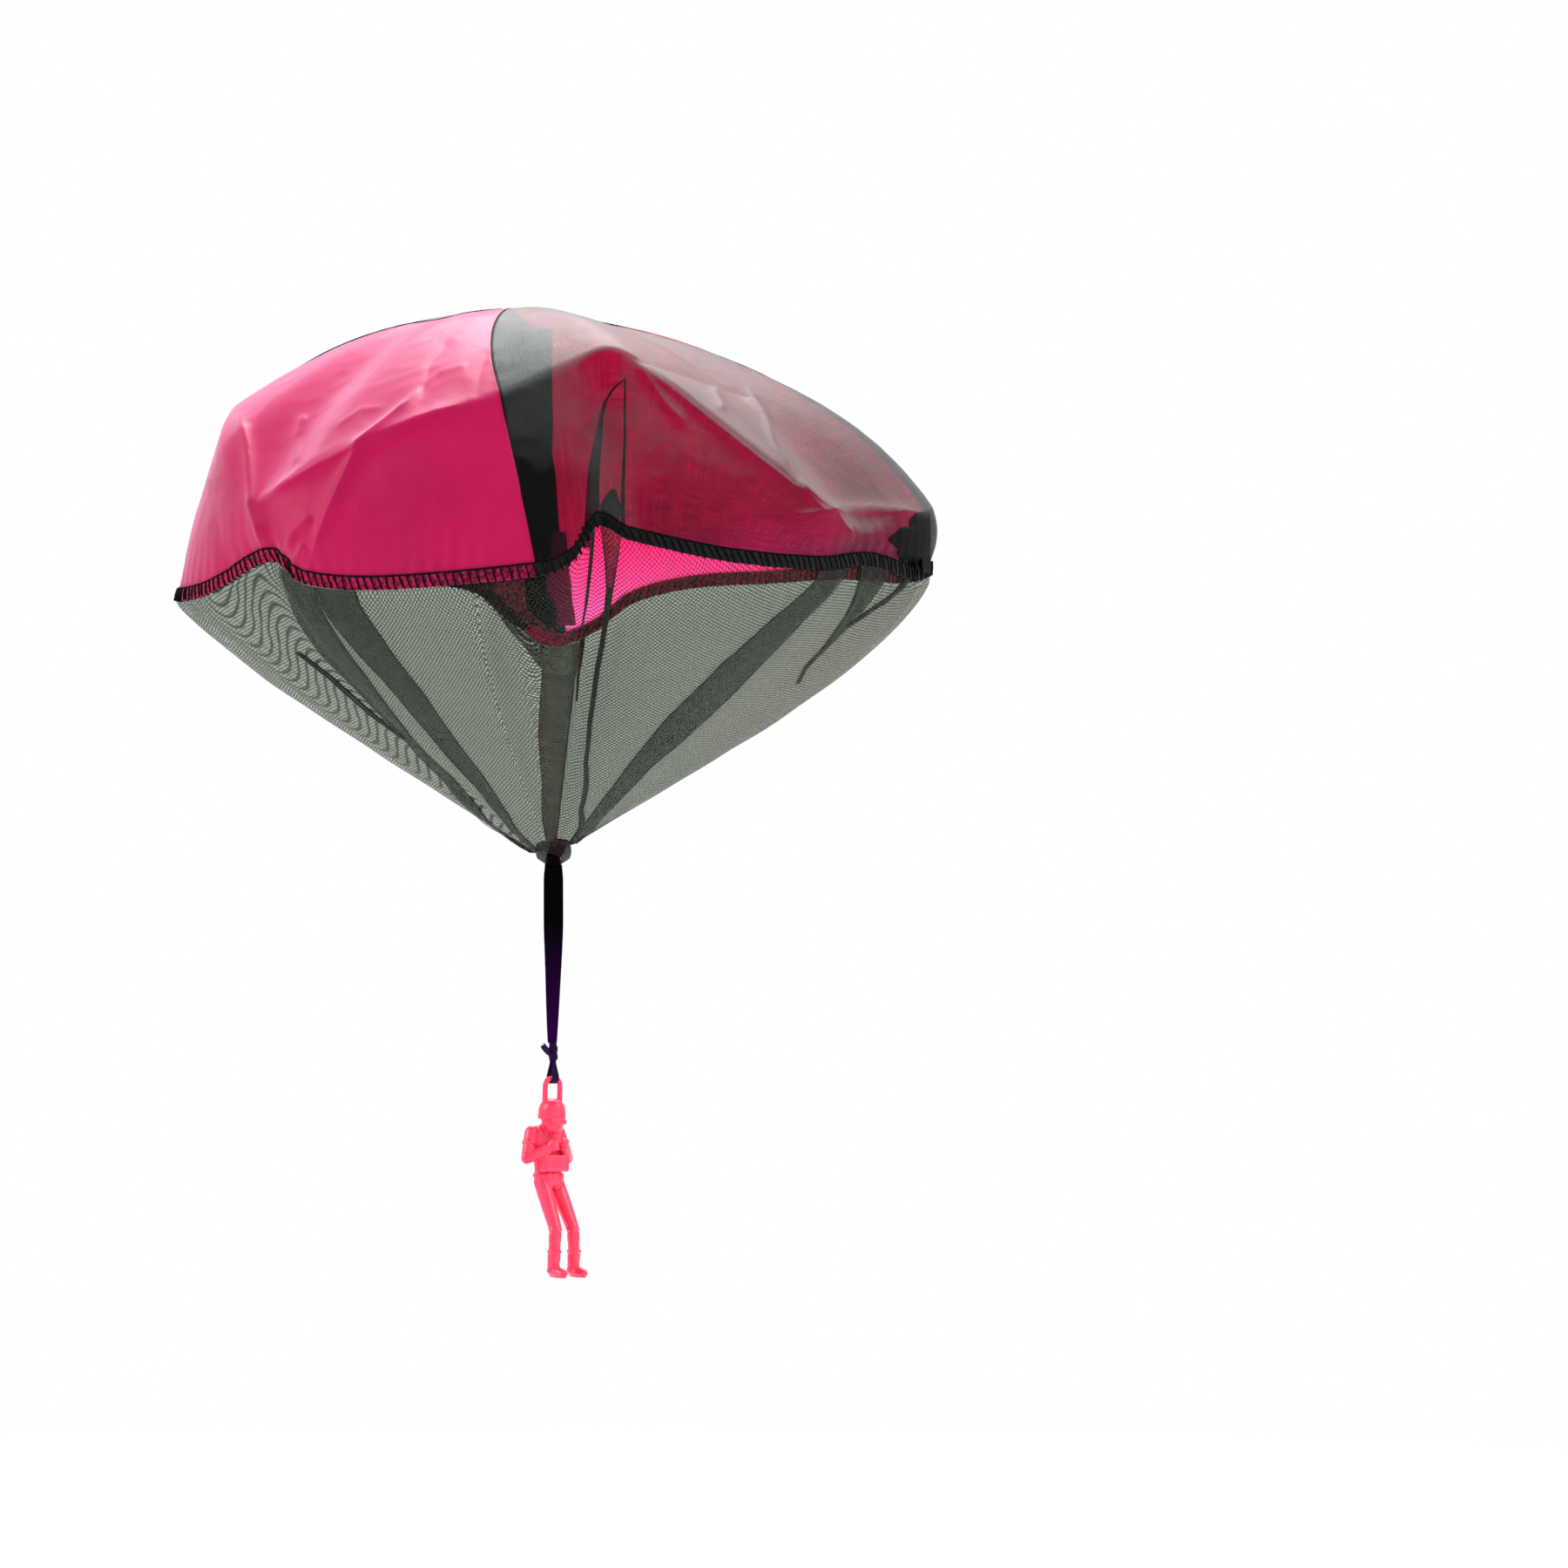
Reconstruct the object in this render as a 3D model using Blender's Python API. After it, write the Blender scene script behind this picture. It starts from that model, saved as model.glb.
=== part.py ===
"""Toy parachute: a patchwork canopy of four sewn panels, an overlocked hem, a net skirt that is
gathered to a neck, a ribbon with a knot, and a one-piece moulded skydiver that hangs by a ring.

The origin lies on the hang line, on top of the canopy. The near side is -Y and the right side is +X.
Everything is in metres.
"""

import math

import bmesh
import bpy
import numpy as np
from mathutils import Matrix, Vector
from mathutils.bvhtree import BVHTree

# Canopy: the cloth as it stands when it is full of air
half_span = 0.190
hem_drop = 0.150
cloth_wall = 0.0005
seam_gap = 0.0003
dome_top_left = 0.025
dome_top_rise = 0.0016
dome_curve = 2.1
shoulder_share = 0.64
shoulder_round_share = 0.09
wall_bow = 0.003
dart_depth = 0.007
panel_cells = 14

# Overlocked hem and the net skirt under it
hem_width = 0.0065
hem_wall = 0.0016
net_wall = 0.0004
net_drop = 0.2740
net_mouth_radius = 0.0092
net_mouth_lift = 8.0
net_mouth_tilt = 14.0
net_billow = 0.014
billow_curve = 0.6
net_rows = 11
gather_sides = 20
tab_rows = 9
tab_columns = 7

# Gather: the net is drawn together round a bunch that turns in its mouth. The folded end of the
# ribbon is sewn to the net's front, and hangs before the bunch.
running_gap = 0.0003
gather_fit = 0.0005
gather_height = 0.0068
gather_foot_radius = 0.0034
tab_width = 0.0068
tab_height = 0.0083
tab_wall = 0.0009
tab_slant = 0.0038
tab_right = 0.0042
tab_above_mouth = 0.0050
tab_gap = 0.0005

# Ribbon from the tab down to the knot
ribbon_width = 0.0098
ribbon_thickness = 0.0013
ribbon_roll_radius = 0.0013
ribbon_length = 0.0885
ribbon_foot_radius = 0.0020
knot_height = 0.0088
knot_radius = 0.0024
knot_waist_radius = 0.0018
tail_length = 0.0052
tail_width = 0.0040
tail_turn = 50.0
loop_band_width = 0.0040
loop_band_thickness = 0.0008
loop_gap = 0.0005
loop_neck_width = 0.0020
loop_neck_depth = 0.0028
loop_seam_height = 0.0013
loop_height = 0.0088

# Skydiver, moulded in one piece
figure_turn = 40.0
figure_lean = 1.9
ring_outer_width = 0.0123
ring_bar_diameter = 0.0027
ring_height = 0.0115
head_width = 0.0132
head_height = 0.0177
head_depth = 0.0146
shoulder_width = 0.0246
torso_width = 0.0178
torso_depth = 0.0116
torso_height = 0.0250
belt_height = 0.0024
pack_width = 0.0164
pack_height = 0.0085
pack_depth = 0.0046
elbow_span = 0.0320
upper_arm_radius = 0.0037
forearm_radius = 0.0026
hand_radius = 0.0029
leg_length = 0.0370
thigh_radius = 0.0042
knee_radius = 0.0032
ankle_radius = 0.0028
boot_radius = 0.0035
boot_height = 0.0134
foot_length = 0.0142
foot_height = 0.0050
foot_width = 0.0056
feet_apart = 0.0130
knee_forward = 0.0118
harness_strap_width = 0.0022
harness_strap_rise = 0.0007
moulding_overrun = 0.0010
limb_sides = 12
loop_arc_steps = 9
ring_steps = 12
ring_squareness_share = 0.77
body_sides = 14

# Shoulder line of the cloth: angle in degrees from the near side towards the right, then its
# reach as a share of half_span and its drop as a share of hem_drop
shoulder_shares = (
    (-90, 0.85, 0.33),
    (-72, 0.91, 0.50),
    (-56, 0.92, 0.73),
    (-44, 0.875, 0.61),
    (-27, 0.825, 0.51),
    (-10, 0.795, 0.41),
    (3, 0.76, 0.31),
    (12, 0.745, 0.26),
    (20, 0.785, 0.34),
    (30, 0.835, 0.48),
    (39, 0.875, 0.61),
    (48, 0.90, 0.72),
    (59, 0.90, 0.78),
    (74, 0.96, 0.72),
    (90, 1.01, 0.65),
    (112, 0.93, 0.62),
    (136, 0.87, 0.66),
    (156, 0.81, 0.50),
    (178, 0.78, 0.40),
    (200, 0.80, 0.46),
    (224, 0.87, 0.66),
    (248, 0.86, 0.48),
)

# Lower edge of the hem: angle, reach as a share of half_span, drop as a share of hem_drop
hem_shares = (
    (-90, 1.005, 0.985),
    (-72, 0.955, 1.005),
    (-54, 0.885, 0.925),
    (-46, 0.885, 1.01),
    (-30, 0.86, 1.045),
    (-3, 0.895, 1.02),
    (3, 0.895, 0.97),
    (7, 0.87, 0.855),
    (12, 0.895, 0.90),
    (29, 0.905, 0.955),
    (48, 0.905, 0.955),
    (63, 0.915, 0.915),
    (78, 0.965, 0.93),
    (90, 1.005, 0.885),
    (99, 0.98, 0.89),
    (122, 0.93, 0.835),
    (138, 0.915, 0.825),
    (154, 0.91, 0.825),
    (166, 0.91, 0.875),
    (173, 0.90, 0.98),
    (179, 0.895, 1.02),
    (187, 0.875, 0.96),
    (196, 0.82, 0.85),
    (212, 0.86, 0.90),
    (232, 0.91, 0.95),
    (252, 0.955, 0.97),
)

# Where the four seams meet the hem, and how far the cross of the seams has slid off the dome's top
seam_angles = {"near": -3.0, "right": 97.0, "far": 178.0, "left": 263.0}
seam_cross_shares = (-0.010, -0.140)

# How far the seams bow: the near one and the far one to the right, the side ones to the far side
seam_bow_shares = {"near": -0.055, "far": -0.020, "sides": 0.060}
dart_angle = 9.0
dart_spread = 4.0

# Each quarter: its first and last seam and whether its panel is the bright cloth
quarters = {
    "near_right": ("near", "right", False),
    "far_right": ("right", "far", True),
    "far_left": ("far", "left", False),
    "near_left": ("left", "near", True),
}


def clear_scene():
    for thing in list(bpy.data.objects):
        bpy.data.objects.remove(thing, do_unlink=True)


def finish_of(name, colour, roughness):
    """A plain Principled material, with its colour as linear red, green and blue."""
    material = bpy.data.materials.get(name) or bpy.data.materials.new(name)
    material.use_nodes = True
    shader = material.node_tree.nodes["Principled BSDF"]
    shader.inputs["Base Color"].default_value = (*colour, 1.0)
    shader.inputs["Roughness"].default_value = roughness
    shader.inputs["Metallic"].default_value = 0.0
    material.diffuse_color = (*colour, 1.0)
    return material


def bright_nylon():
    return finish_of("bright_pink_nylon", (0.90, 0.02, 0.20), 0.42)


def black_nylon():
    return finish_of("sheer_black_nylon", (0.02, 0.02, 0.022), 0.45)


def black_thread():
    return finish_of("black_polyester_thread", (0.012, 0.012, 0.013), 0.8)


def black_net():
    return finish_of("black_nylon_net", (0.03, 0.032, 0.03), 0.7)


def black_ribbon():
    return finish_of("black_satin_ribbon", (0.008, 0.008, 0.009), 0.5)


def moulded_plastic():
    return finish_of("pink_moulded_plastic", (0.93, 0.05, 0.15), 0.38)


def place(name, mesh, material, parent=None, at=(0, 0, 0)):
    """An object whose mesh is drawn about a place in the world, kept there when it is parented."""
    thing = bpy.data.objects.new(name, mesh)
    mesh.materials.append(material)
    bpy.context.scene.collection.objects.link(thing)
    thing.location = at
    if parent is not None:
        thing.parent = parent
        thing.matrix_parent_inverse = Matrix.Translation(parent.location).inverted()
    mesh.shade_smooth()
    return thing


def pivot(name, at, parent=None):
    """An empty on a joint's axis, which carries what moves there."""
    empty = bpy.data.objects.new(name, None)
    bpy.context.scene.collection.objects.link(empty)
    empty.location = at
    if parent is not None:
        empty.parent = parent
        empty.matrix_parent_inverse = Matrix.Translation(parent.location).inverted()
    return empty


def around(table, angles):
    """Smooth values at any angle between the rows of a table that runs round a full turn."""
    knots = np.array([row[0] for row in table], float)
    values = np.array([row[1:] for row in table], float)
    count = len(knots)
    turned = np.mod(np.asarray(angles, float) - knots[0], 360.0) + knots[0]
    ends = np.append(knots, knots[0] + 360.0)
    low = np.clip(np.searchsorted(ends, turned, side="right") - 1, 0, count - 1)
    high = (low + 1) % count
    step = (ends[low + 1] - ends[low])[:, None]
    before = np.append(knots[-1] - 360.0, ends)
    slopes = (np.roll(values, -1, 0) - np.roll(values, 1, 0)) / (before[2:] - before[:-2])[:, None]
    t = ((turned - ends[low])[:, None]) / step
    return (
        (2 * t**3 - 3 * t**2 + 1) * values[low]
        + (t**3 - 2 * t**2 + t) * step * slopes[low]
        + (3 * t**2 - 2 * t**3) * values[high]
        + (t**3 - t**2) * step * slopes[high]
    )


def outward(angles):
    """Level unit vectors at these angles, counted from the near side towards the right."""
    turns = np.radians(angles)
    return np.stack([np.sin(turns), -np.cos(turns), np.zeros_like(turns)], axis=1)


def ring_line(table, angles):
    """Points of the shoulder or of the hem's lower edge."""
    reach, drop = around(table, angles).T
    points = outward(angles) * (reach * half_span)[:, None]
    points[:, 2] = -drop * hem_drop
    return points


def hem_line(angles, height):
    """Points on the cloth this far above the hem's lower edge."""
    foot = ring_line(hem_shares, angles)
    up = ring_line(shoulder_shares, angles) - foot
    return foot + up / np.linalg.norm(up, axis=1)[:, None] * height


def dart(angles):
    """How deep the pinched fold above the near hem lies at each angle."""
    off = (np.mod(angles - dart_angle + 180.0, 360.0) - 180.0) / dart_spread
    return dart_depth * np.exp(-off * off)


def canopy_profile(angles, reach):
    """Points of the cloth for reach 0 at the dome's top, shoulder_share at the shoulder, 1 at the hem."""
    shoulder = ring_line(shoulder_shares, angles)
    edge = hem_line(angles, hem_width + seam_gap)
    top = np.array([-dome_top_left, 0.0, dome_top_rise])
    on_top = np.clip(reach / shoulder_share, 0, 1)[:, None]
    points = top + (shoulder - top) * on_top
    points[:, 2] = top[2] + (shoulder[:, 2] - top[2]) * on_top[:, 0] ** dome_curve
    down = np.clip((reach - shoulder_share) / (1 - shoulder_share), 0, 1)[:, None]
    points = points + (edge - shoulder) * down
    bow = wall_bow * np.sin(math.pi * down) - dart(angles)[:, None] * np.sin(math.pi * down**0.7)
    return points + outward(angles) * bow


def canopy_points(disc):
    """Points of the cloth for places in a unit disc, with its shoulder rounded."""
    angles = np.degrees(np.arctan2(disc[:, 0], -disc[:, 1]))
    reach = np.linalg.norm(disc, axis=1)
    room = np.minimum(shoulder_round_share, np.minimum(1 - reach, reach))
    total = np.zeros((len(disc), 3))
    weights = (1, 4, 6, 4, 1)
    for offset, weight in zip((-1, -0.5, 0, 0.5, 1), weights):
        total += weight * canopy_profile(angles, reach + offset * room)
    return total / sum(weights)


def seam_span(quarter):
    """First and last hem angle of a quarter, the last one larger."""
    first, last, _ = quarters[quarter]
    start, end = seam_angles[first], seam_angles[last]
    return start, end + 360.0 * (end < start)


def disc_place(quarter, across, along):
    """Where a square panel's point lies in the disc. (0, 0) is the cross of the seams."""
    start, end = seam_span(quarter)
    reach = max(across, along)
    if reach == 0:
        share = 0.5
    elif across >= along:
        share = 0.5 * along / across
    else:
        share = 1 - 0.5 * across / along
    turn = math.radians(start + (end - start) * share)
    slide = 1 - reach * reach
    bow = math.sin(math.pi * reach)
    nearness = (1 + math.cos(turn)) / 2
    aside = seam_bow_shares["near"] * nearness + seam_bow_shares["far"] * (1 - nearness)
    return (
        reach * math.sin(turn) + seam_cross_shares[0] * slide + aside * bow,
        -reach * math.cos(turn) + seam_cross_shares[1] * slide + seam_bow_shares["sides"] * bow,
    )


def draw_in(grid):
    """Moves the side columns of a grid of points inwards by half a seam's gap."""
    for side, beside in ((0, 1), (-1, -2)):
        towards = grid[:, beside] - grid[:, side]
        grid[:, side] += towards / np.linalg.norm(towards, axis=1)[:, None] * seam_gap / 2
    return grid


def sheet_mesh(name, grid, wall, offset):
    """A closed sheet on a grid of points whose rows run down and whose columns run to the right."""
    rows, columns = grid.shape[:2]
    shape = bmesh.new()
    corners = [[shape.verts.new(grid[r, c]) for c in range(columns)] for r in range(rows)]
    for r in range(rows - 1):
        for c in range(columns - 1):
            shape.faces.new(
                (corners[r][c], corners[r + 1][c], corners[r + 1][c + 1], corners[r][c + 1])
            )
    mesh = bpy.data.meshes.new(name)
    shape.to_mesh(mesh)
    shape.free()
    thicken(mesh, wall, offset)
    return mesh


def thicken(mesh, wall, offset):
    """Gives a sheet its wall, with Solidify on a helper object, so that the mesh itself is closed."""
    helper = bpy.data.objects.new("helper", mesh)
    bpy.context.scene.collection.objects.link(helper)
    solidify = helper.modifiers.new("wall", "SOLIDIFY")
    solidify.thickness = wall
    solidify.offset = offset
    solidify.use_even_offset = True
    closed = bmesh.new()
    closed.from_object(helper, bpy.context.evaluated_depsgraph_get())
    bpy.data.objects.remove(helper)
    closed.to_mesh(mesh)
    closed.free()


def make_panel(quarter, parent):
    """One square of cloth, from the cross of the seams to the two sides that the hem binds."""
    shares = [i / panel_cells for i in range(panel_cells + 1)]
    disc = [disc_place(quarter, a, b) for b in shares for a in shares]
    grid = canopy_points(np.array(disc)).reshape(len(shares), len(shares), 3)
    draw_in(grid)
    draw_in(grid.transpose(1, 0, 2))
    mesh = sheet_mesh(f"panel_{quarter}", grid, cloth_wall, 1.0)
    bright = quarters[quarter][2]
    return place(f"panel_{quarter}", mesh, bright_nylon() if bright else black_nylon(), parent)


def quarter_angles(quarter):
    start, end = seam_span(quarter)
    return np.linspace(start, end, 2 * panel_cells + 1)


def make_hem(quarter, parent):
    """The overlock stitch that binds a panel's two outer sides."""
    angles = quarter_angles(quarter)
    grid = np.stack([hem_line(angles, hem_width), hem_line(angles, 0)])
    draw_in(grid)
    mesh = sheet_mesh(f"hem_{quarter}", grid, hem_wall, 0.0)
    return place(f"hem_{quarter}", mesh, black_thread(), parent)


def net_mouth(angles):
    """Points of the net's mouth: a tilted ring on a ball round the gather's pivot."""
    lift = np.radians(net_mouth_lift + net_mouth_tilt * np.sin(np.radians(angles)))
    points = outward(angles) * (net_mouth_radius * np.cos(lift))[:, None]
    points[:, 2] = net_mouth_radius * np.sin(lift) - net_drop
    return points


def net_points(angles, share):
    """Points of the net, from the hem at share 0 to the mouth of the gather at share 1."""
    start = ring_line(hem_shares, angles)
    line = net_mouth(angles) - start
    length = np.linalg.norm(line, axis=1)
    run = -(line * outward(angles)).sum(axis=1)
    fall = -line[:, 2]
    down_and_out = outward(angles) * (fall / length)[:, None]
    down_and_out[:, 2] = -run / length
    billow = net_billow * math.sin(math.pi * share**billow_curve)
    first = line / length[:, None] * seam_gap
    return start + first + (line - first) * share + down_and_out * billow


def make_net(quarter, parent):
    """A quarter of the net skirt, sewn under its panel's hem."""
    angles = quarter_angles(quarter)
    rows = [net_points(angles, r / (net_rows - 1)) for r in range(net_rows)]
    grid = np.stack(rows)
    draw_in(grid)
    mesh = sheet_mesh(f"net_{quarter}", grid, net_wall, 1.0)
    return place(f"net_{quarter}", mesh, black_net(), parent)


def ellipse_ring(centre, side, front, half_width, half_depth, sides):
    """A closed ring of points round a centre, in the plane of two unit vectors."""
    turns = [2 * math.pi * i / sides for i in range(sides)]
    return [
        centre + side * (half_width * math.cos(t)) + front * (half_depth * math.sin(t))
        for t in turns
    ]


def loft(name, rings):
    """A closed skin over rings of points, with flat ends."""
    shape = bmesh.new()
    loops = [[shape.verts.new(p) for p in ring] for ring in rings]
    count = len(loops[0])
    for one, two in zip(loops, loops[1:]):
        for i in range(count):
            after = (i + 1) % count
            shape.faces.new((one[i], one[after], two[after], two[i]))
    shape.faces.new(list(reversed(loops[0])))
    shape.faces.new(loops[-1])
    bmesh.ops.recalc_face_normals(shape, faces=shape.faces)
    mesh = bpy.data.meshes.new(name)
    shape.to_mesh(mesh)
    shape.free()
    return mesh


def turned(name, profile, sides, centre=Vector((0, 0, 0)), squash=1.0):
    """A round solid from (radius, height) pairs, from top to bottom, squashed front to back."""
    side, front = Vector((1, 0, 0)), Vector((0, 1, 0))
    rings = [
        ellipse_ring(centre + Vector((0, 0, height)), side, front, radius, radius * squash, sides)
        for radius, height in profile
    ]
    return loft(name, rings)


def gather_foot_height():
    return -net_drop - gather_height


def ribbon_top_height():
    """The level line about which the ribbon swings under the gather."""
    return gather_foot_height() - running_gap - ribbon_roll_radius


# Gather: how far its round part reaches over and under the pivot's level, in degrees
gather_elevations = (42, 28, 14, 0, -13, -26)


def make_gather(parent):
    """The drawn-together net: a bunch that turns in the net's mouth and narrows to its foot."""
    radius = net_mouth_radius - gather_fit
    profile = []
    for degrees in gather_elevations:
        turn = math.radians(degrees)
        profile.append((radius * math.cos(turn), radius * math.sin(turn)))
    profile.append((gather_foot_radius, -gather_height))
    mesh = turned("net_gather", profile, gather_sides)
    return place("net_gather", mesh, black_net(), parent, (0, 0, -net_drop))


def net_front(nets, across, height):
    """How far in front of the hang line a strap clears the nets and hangs down from their mouth."""
    reaches = [math.sqrt((net_mouth_radius + net_wall) ** 2 - across**2)]
    for net in nets:
        for place_across in (across - seam_gap, across, across + seam_gap):
            hit = net.ray_cast(Vector((place_across, -half_span, height)), Vector((0, 1, 0)))[0]
            if hit is not None:
                reaches.append(-hit.y)
    return max(reaches)


def make_tab(parent, nets):
    """The ribbon's folded end, sewn slantwise to the net's front. It hangs before the gather."""
    trees = []
    for net in nets:
        shape = bmesh.new()
        shape.from_mesh(net.data)
        trees.append(BVHTree.FromBMesh(shape))
        shape.free()
    rows = []
    for down in np.linspace(0, 1, tab_rows):
        height = -net_drop + tab_above_mouth - tab_height * down
        middle = tab_right - tab_slant * down
        row = []
        for across in np.linspace(middle - tab_width / 2, middle + tab_width / 2, tab_columns):
            row.append((across, -net_front(trees, across, height) - tab_gap, height))
        rows.append(row)
    mesh = sheet_mesh("ribbon_tab", np.array(rows), tab_wall, 1.0)
    return place("ribbon_tab", mesh, black_ribbon(), parent)


# Ribbon: share of its length, then its width and its thickness as shares of its own
ribbon_run_shares = (
    (0.00, 0.86, 1.0),
    (0.06, 0.97, 1.0),
    (0.16, 1.00, 1.0),
    (0.32, 0.99, 1.0),
    (0.45, 0.89, 1.15),
    (0.61, 0.765, 1.35),
    (0.78, 0.64, 1.7),
    (0.91, 0.53, 2.1),
)
ribbon_foot_depth_share = 0.8


def make_ribbon(parent):
    """The doubled ribbon: flat under the tab, and folded narrower towards the knot."""
    top = ribbon_top_height()
    side, front = Vector((1, 0, 0)), Vector((0, 1, 0))
    half_roll = ribbon_width * ribbon_run_shares[0][1] / 2
    sides = limb_sides
    rings = []
    for share, width, thickness in ribbon_run_shares[1:]:
        half_width, half_depth = ribbon_width * width / 2, ribbon_thickness * thickness / 2
        centre = Vector((0, 0, -ribbon_length * share))
        rings.append(ellipse_ring(centre, side, front, half_width, half_depth, sides))
    foot = Vector((0, 0, -ribbon_length))
    rings.append(
        ellipse_ring(foot, side, front, ribbon_foot_radius, ribbon_foot_radius * ribbon_foot_depth_share, sides)
    )
    half = ribbon_thickness / 2
    rings.insert(0, ellipse_ring(Vector((0, 0, 0)), side, front, half_roll, half, sides))
    strap = place("ribbon_strap", loft("ribbon_strap", rings), black_ribbon(), parent, (0, 0, top))
    roll_rings = [
        ellipse_ring(
            Vector((across, 0, 0)), front, Vector((0, 0, 1)), ribbon_roll_radius,
            ribbon_roll_radius, sides,
        )
        for across in (-half_roll, half_roll)
    ]
    unite(strap, [loft("ribbon_roll", roll_rings)])
    return strap


def unite(thing, meshes):
    """Joins closed shapes, drawn about the object's place, with Boolean modifiers on helpers."""
    for mesh in meshes:
        helper = bpy.data.objects.new(mesh.name + "_helper", mesh)
        helper.location = thing.location
        helper.hide_render = True
        helper.display_type = "WIRE"
        bpy.context.scene.collection.objects.link(helper)
        union = thing.modifiers.new(mesh.name, "BOOLEAN")
        union.operation = "UNION"
        union.solver = "MANIFOLD"
        union.object = helper


def knot_top_height():
    return ribbon_top_height() - ribbon_length - running_gap


def ring_bar_height():
    """The line through the ring's bar, on which the skydiver swings."""
    return knot_top_height() - knot_height - loop_height


# Knot: share of its height from the top, then its radius as a share of its own
knot_shares = ((0.00, 0.85), (0.15, 0.93), (0.38, 1.00), (0.62, 0.96), (0.82, 0.84))
knot_depth_share = 0.86


def make_knot(parent):
    """The ribbon's overhand knot: a lump over a waist."""
    top = knot_top_height()
    profile = [(knot_radius * wide, top - knot_height * down) for down, wide in knot_shares]
    profile.append((knot_waist_radius, top - knot_height))
    mesh = turned("ribbon_knot", profile, gather_sides, squash=knot_depth_share)
    return place("ribbon_knot", mesh, black_ribbon(), parent)


# Tail: share of its length, then its width as a share of its own. Where it leaves the knot, as a
# share of the knot's height, and its lean to the left and to the front for each step up.
tail_shares = ((0.0, 0.60), (0.3, 0.90), (0.7, 1.00), (1.0, 0.80))
tail_root_share = 0.66
tail_lean_shares = (0.50, 0.15)
tail_sides = 8


def make_tail(parent):
    """The ribbon's cut end, which leaves the knot's near left side and points up."""
    turn = math.radians(tail_turn)
    away = Vector((-math.cos(turn), -math.sin(turn), 0))
    along = away.cross(Vector((0, 0, 1)))
    thick = ribbon_thickness / 2
    root = away * (knot_radius + running_gap + thick)
    root.z = knot_top_height() - knot_height * tail_root_share
    lean = Vector((-tail_lean_shares[0], -tail_lean_shares[1], 1)).normalized()
    rings = []
    for share, width in tail_shares:
        centre = root + lean * (tail_length * share)
        rings.append(ellipse_ring(centre, along, away, tail_width * width / 2, thick, tail_sides))
    return place("ribbon_tail", loft("ribbon_tail", rings), black_ribbon(), parent)


def figure_axes():
    """Unit vectors to the skydiver's left and to its front."""
    turn = math.radians(figure_turn)
    return Vector((math.cos(turn), math.sin(turn), 0)), Vector((math.sin(turn), -math.cos(turn), 0))


def make_loop(parent):
    """The ribbon's eye: a band that goes round the ring's bar and closes in towards the knot."""
    left, front = figure_axes()
    up = Vector((0, 0, 1))
    inner = ring_bar_diameter / 2 + loop_gap
    outer = inner + loop_band_thickness
    neck = loop_height - running_gap

    def eye(radius, top, half):
        """Half a turn under the bar, then two sides that close in towards the top."""
        arc = [math.pi * (1 + i / loop_arc_steps) for i in range(loop_arc_steps + 1)]
        low = [(radius * math.cos(t), radius * math.sin(t)) for t in arc]
        return low + [(half, top), (-half, top)]

    outside = eye(outer, neck, loop_neck_depth / 2)
    inside = eye(inner, neck - loop_seam_height, loop_neck_depth / 2 - loop_band_thickness)
    shape = bmesh.new()
    loops = []
    for outline, across in ((outside, -1), (outside, 1), (inside, 1), (inside, -1)):
        loop = []
        for x, z in outline:
            narrow = max(z, 0) / neck
            half = (loop_band_width + (loop_neck_width - loop_band_width) * narrow) / 2
            loop.append(shape.verts.new(left * (across * half) + front * x + up * z))
        loops.append(loop)
    for one, two in zip(loops, loops[1:] + loops[:1]):
        for i in range(len(one)):
            after = (i + 1) % len(one)
            shape.faces.new((one[i], one[after], two[after], two[i]))
    bmesh.ops.recalc_face_normals(shape, faces=shape.faces)
    mesh = bpy.data.meshes.new("ribbon_eye")
    shape.to_mesh(mesh)
    shape.free()
    return place("ribbon_eye", mesh, black_ribbon(), parent, (0, 0, ring_bar_height()))


def limb(name, points, radii, flatten=1.0, sides=limb_sides, across=Vector((1, 0, 0))):
    """A round-ended limb along points, with a radius at each and a depth of flatten times it."""
    rings = []
    last = len(points) - 1
    for i, (point, radius) in enumerate(zip(points, radii)):
        before, after = points[max(i - 1, 0)], points[min(i + 1, last)]
        along = (after - before).normalized()
        front = along.cross(across).normalized()
        side = front.cross(along).normalized()
        caps = [(0.0, 1.0)]
        if i == 0:
            caps = [(-0.92, 0.38), (-0.62, 0.78), (0.0, 1.0)]
        if i == last:
            caps = [(0.0, 1.0), (0.62, 0.78), (0.92, 0.38)]
        for shift, scale in caps:
            centre = point + along * (shift * radius * min(flatten, 1.0))
            half = radius * scale
            rings.append(ellipse_ring(centre, side, front, half, half * flatten, sides))
    return loft(name, rings)


def block(name, centre, sizes, chamfer):
    """A box with chamfered edges."""
    shape = bmesh.new()
    bmesh.ops.create_cube(shape, size=1.0)
    bmesh.ops.scale(shape, vec=sizes, verts=shape.verts)
    bmesh.ops.bevel(shape, geom=list(shape.edges), offset=chamfer, segments=2, affect="EDGES")
    bmesh.ops.translate(shape, vec=centre, verts=shape.verts)
    mesh = bpy.data.meshes.new(name)
    shape.to_mesh(mesh)
    shape.free()
    return mesh


def figure_heights():
    """Heights of the skydiver's landmarks under the bar's centre line."""
    crown = ring_bar_diameter / 2 - ring_height
    shoulders = crown - head_height * 0.86
    belt = shoulders - torso_height * 0.94
    knees = belt - leg_length * 0.71
    sole = belt - leg_length - boot_height
    return crown, shoulders, belt, knees, sole


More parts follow.
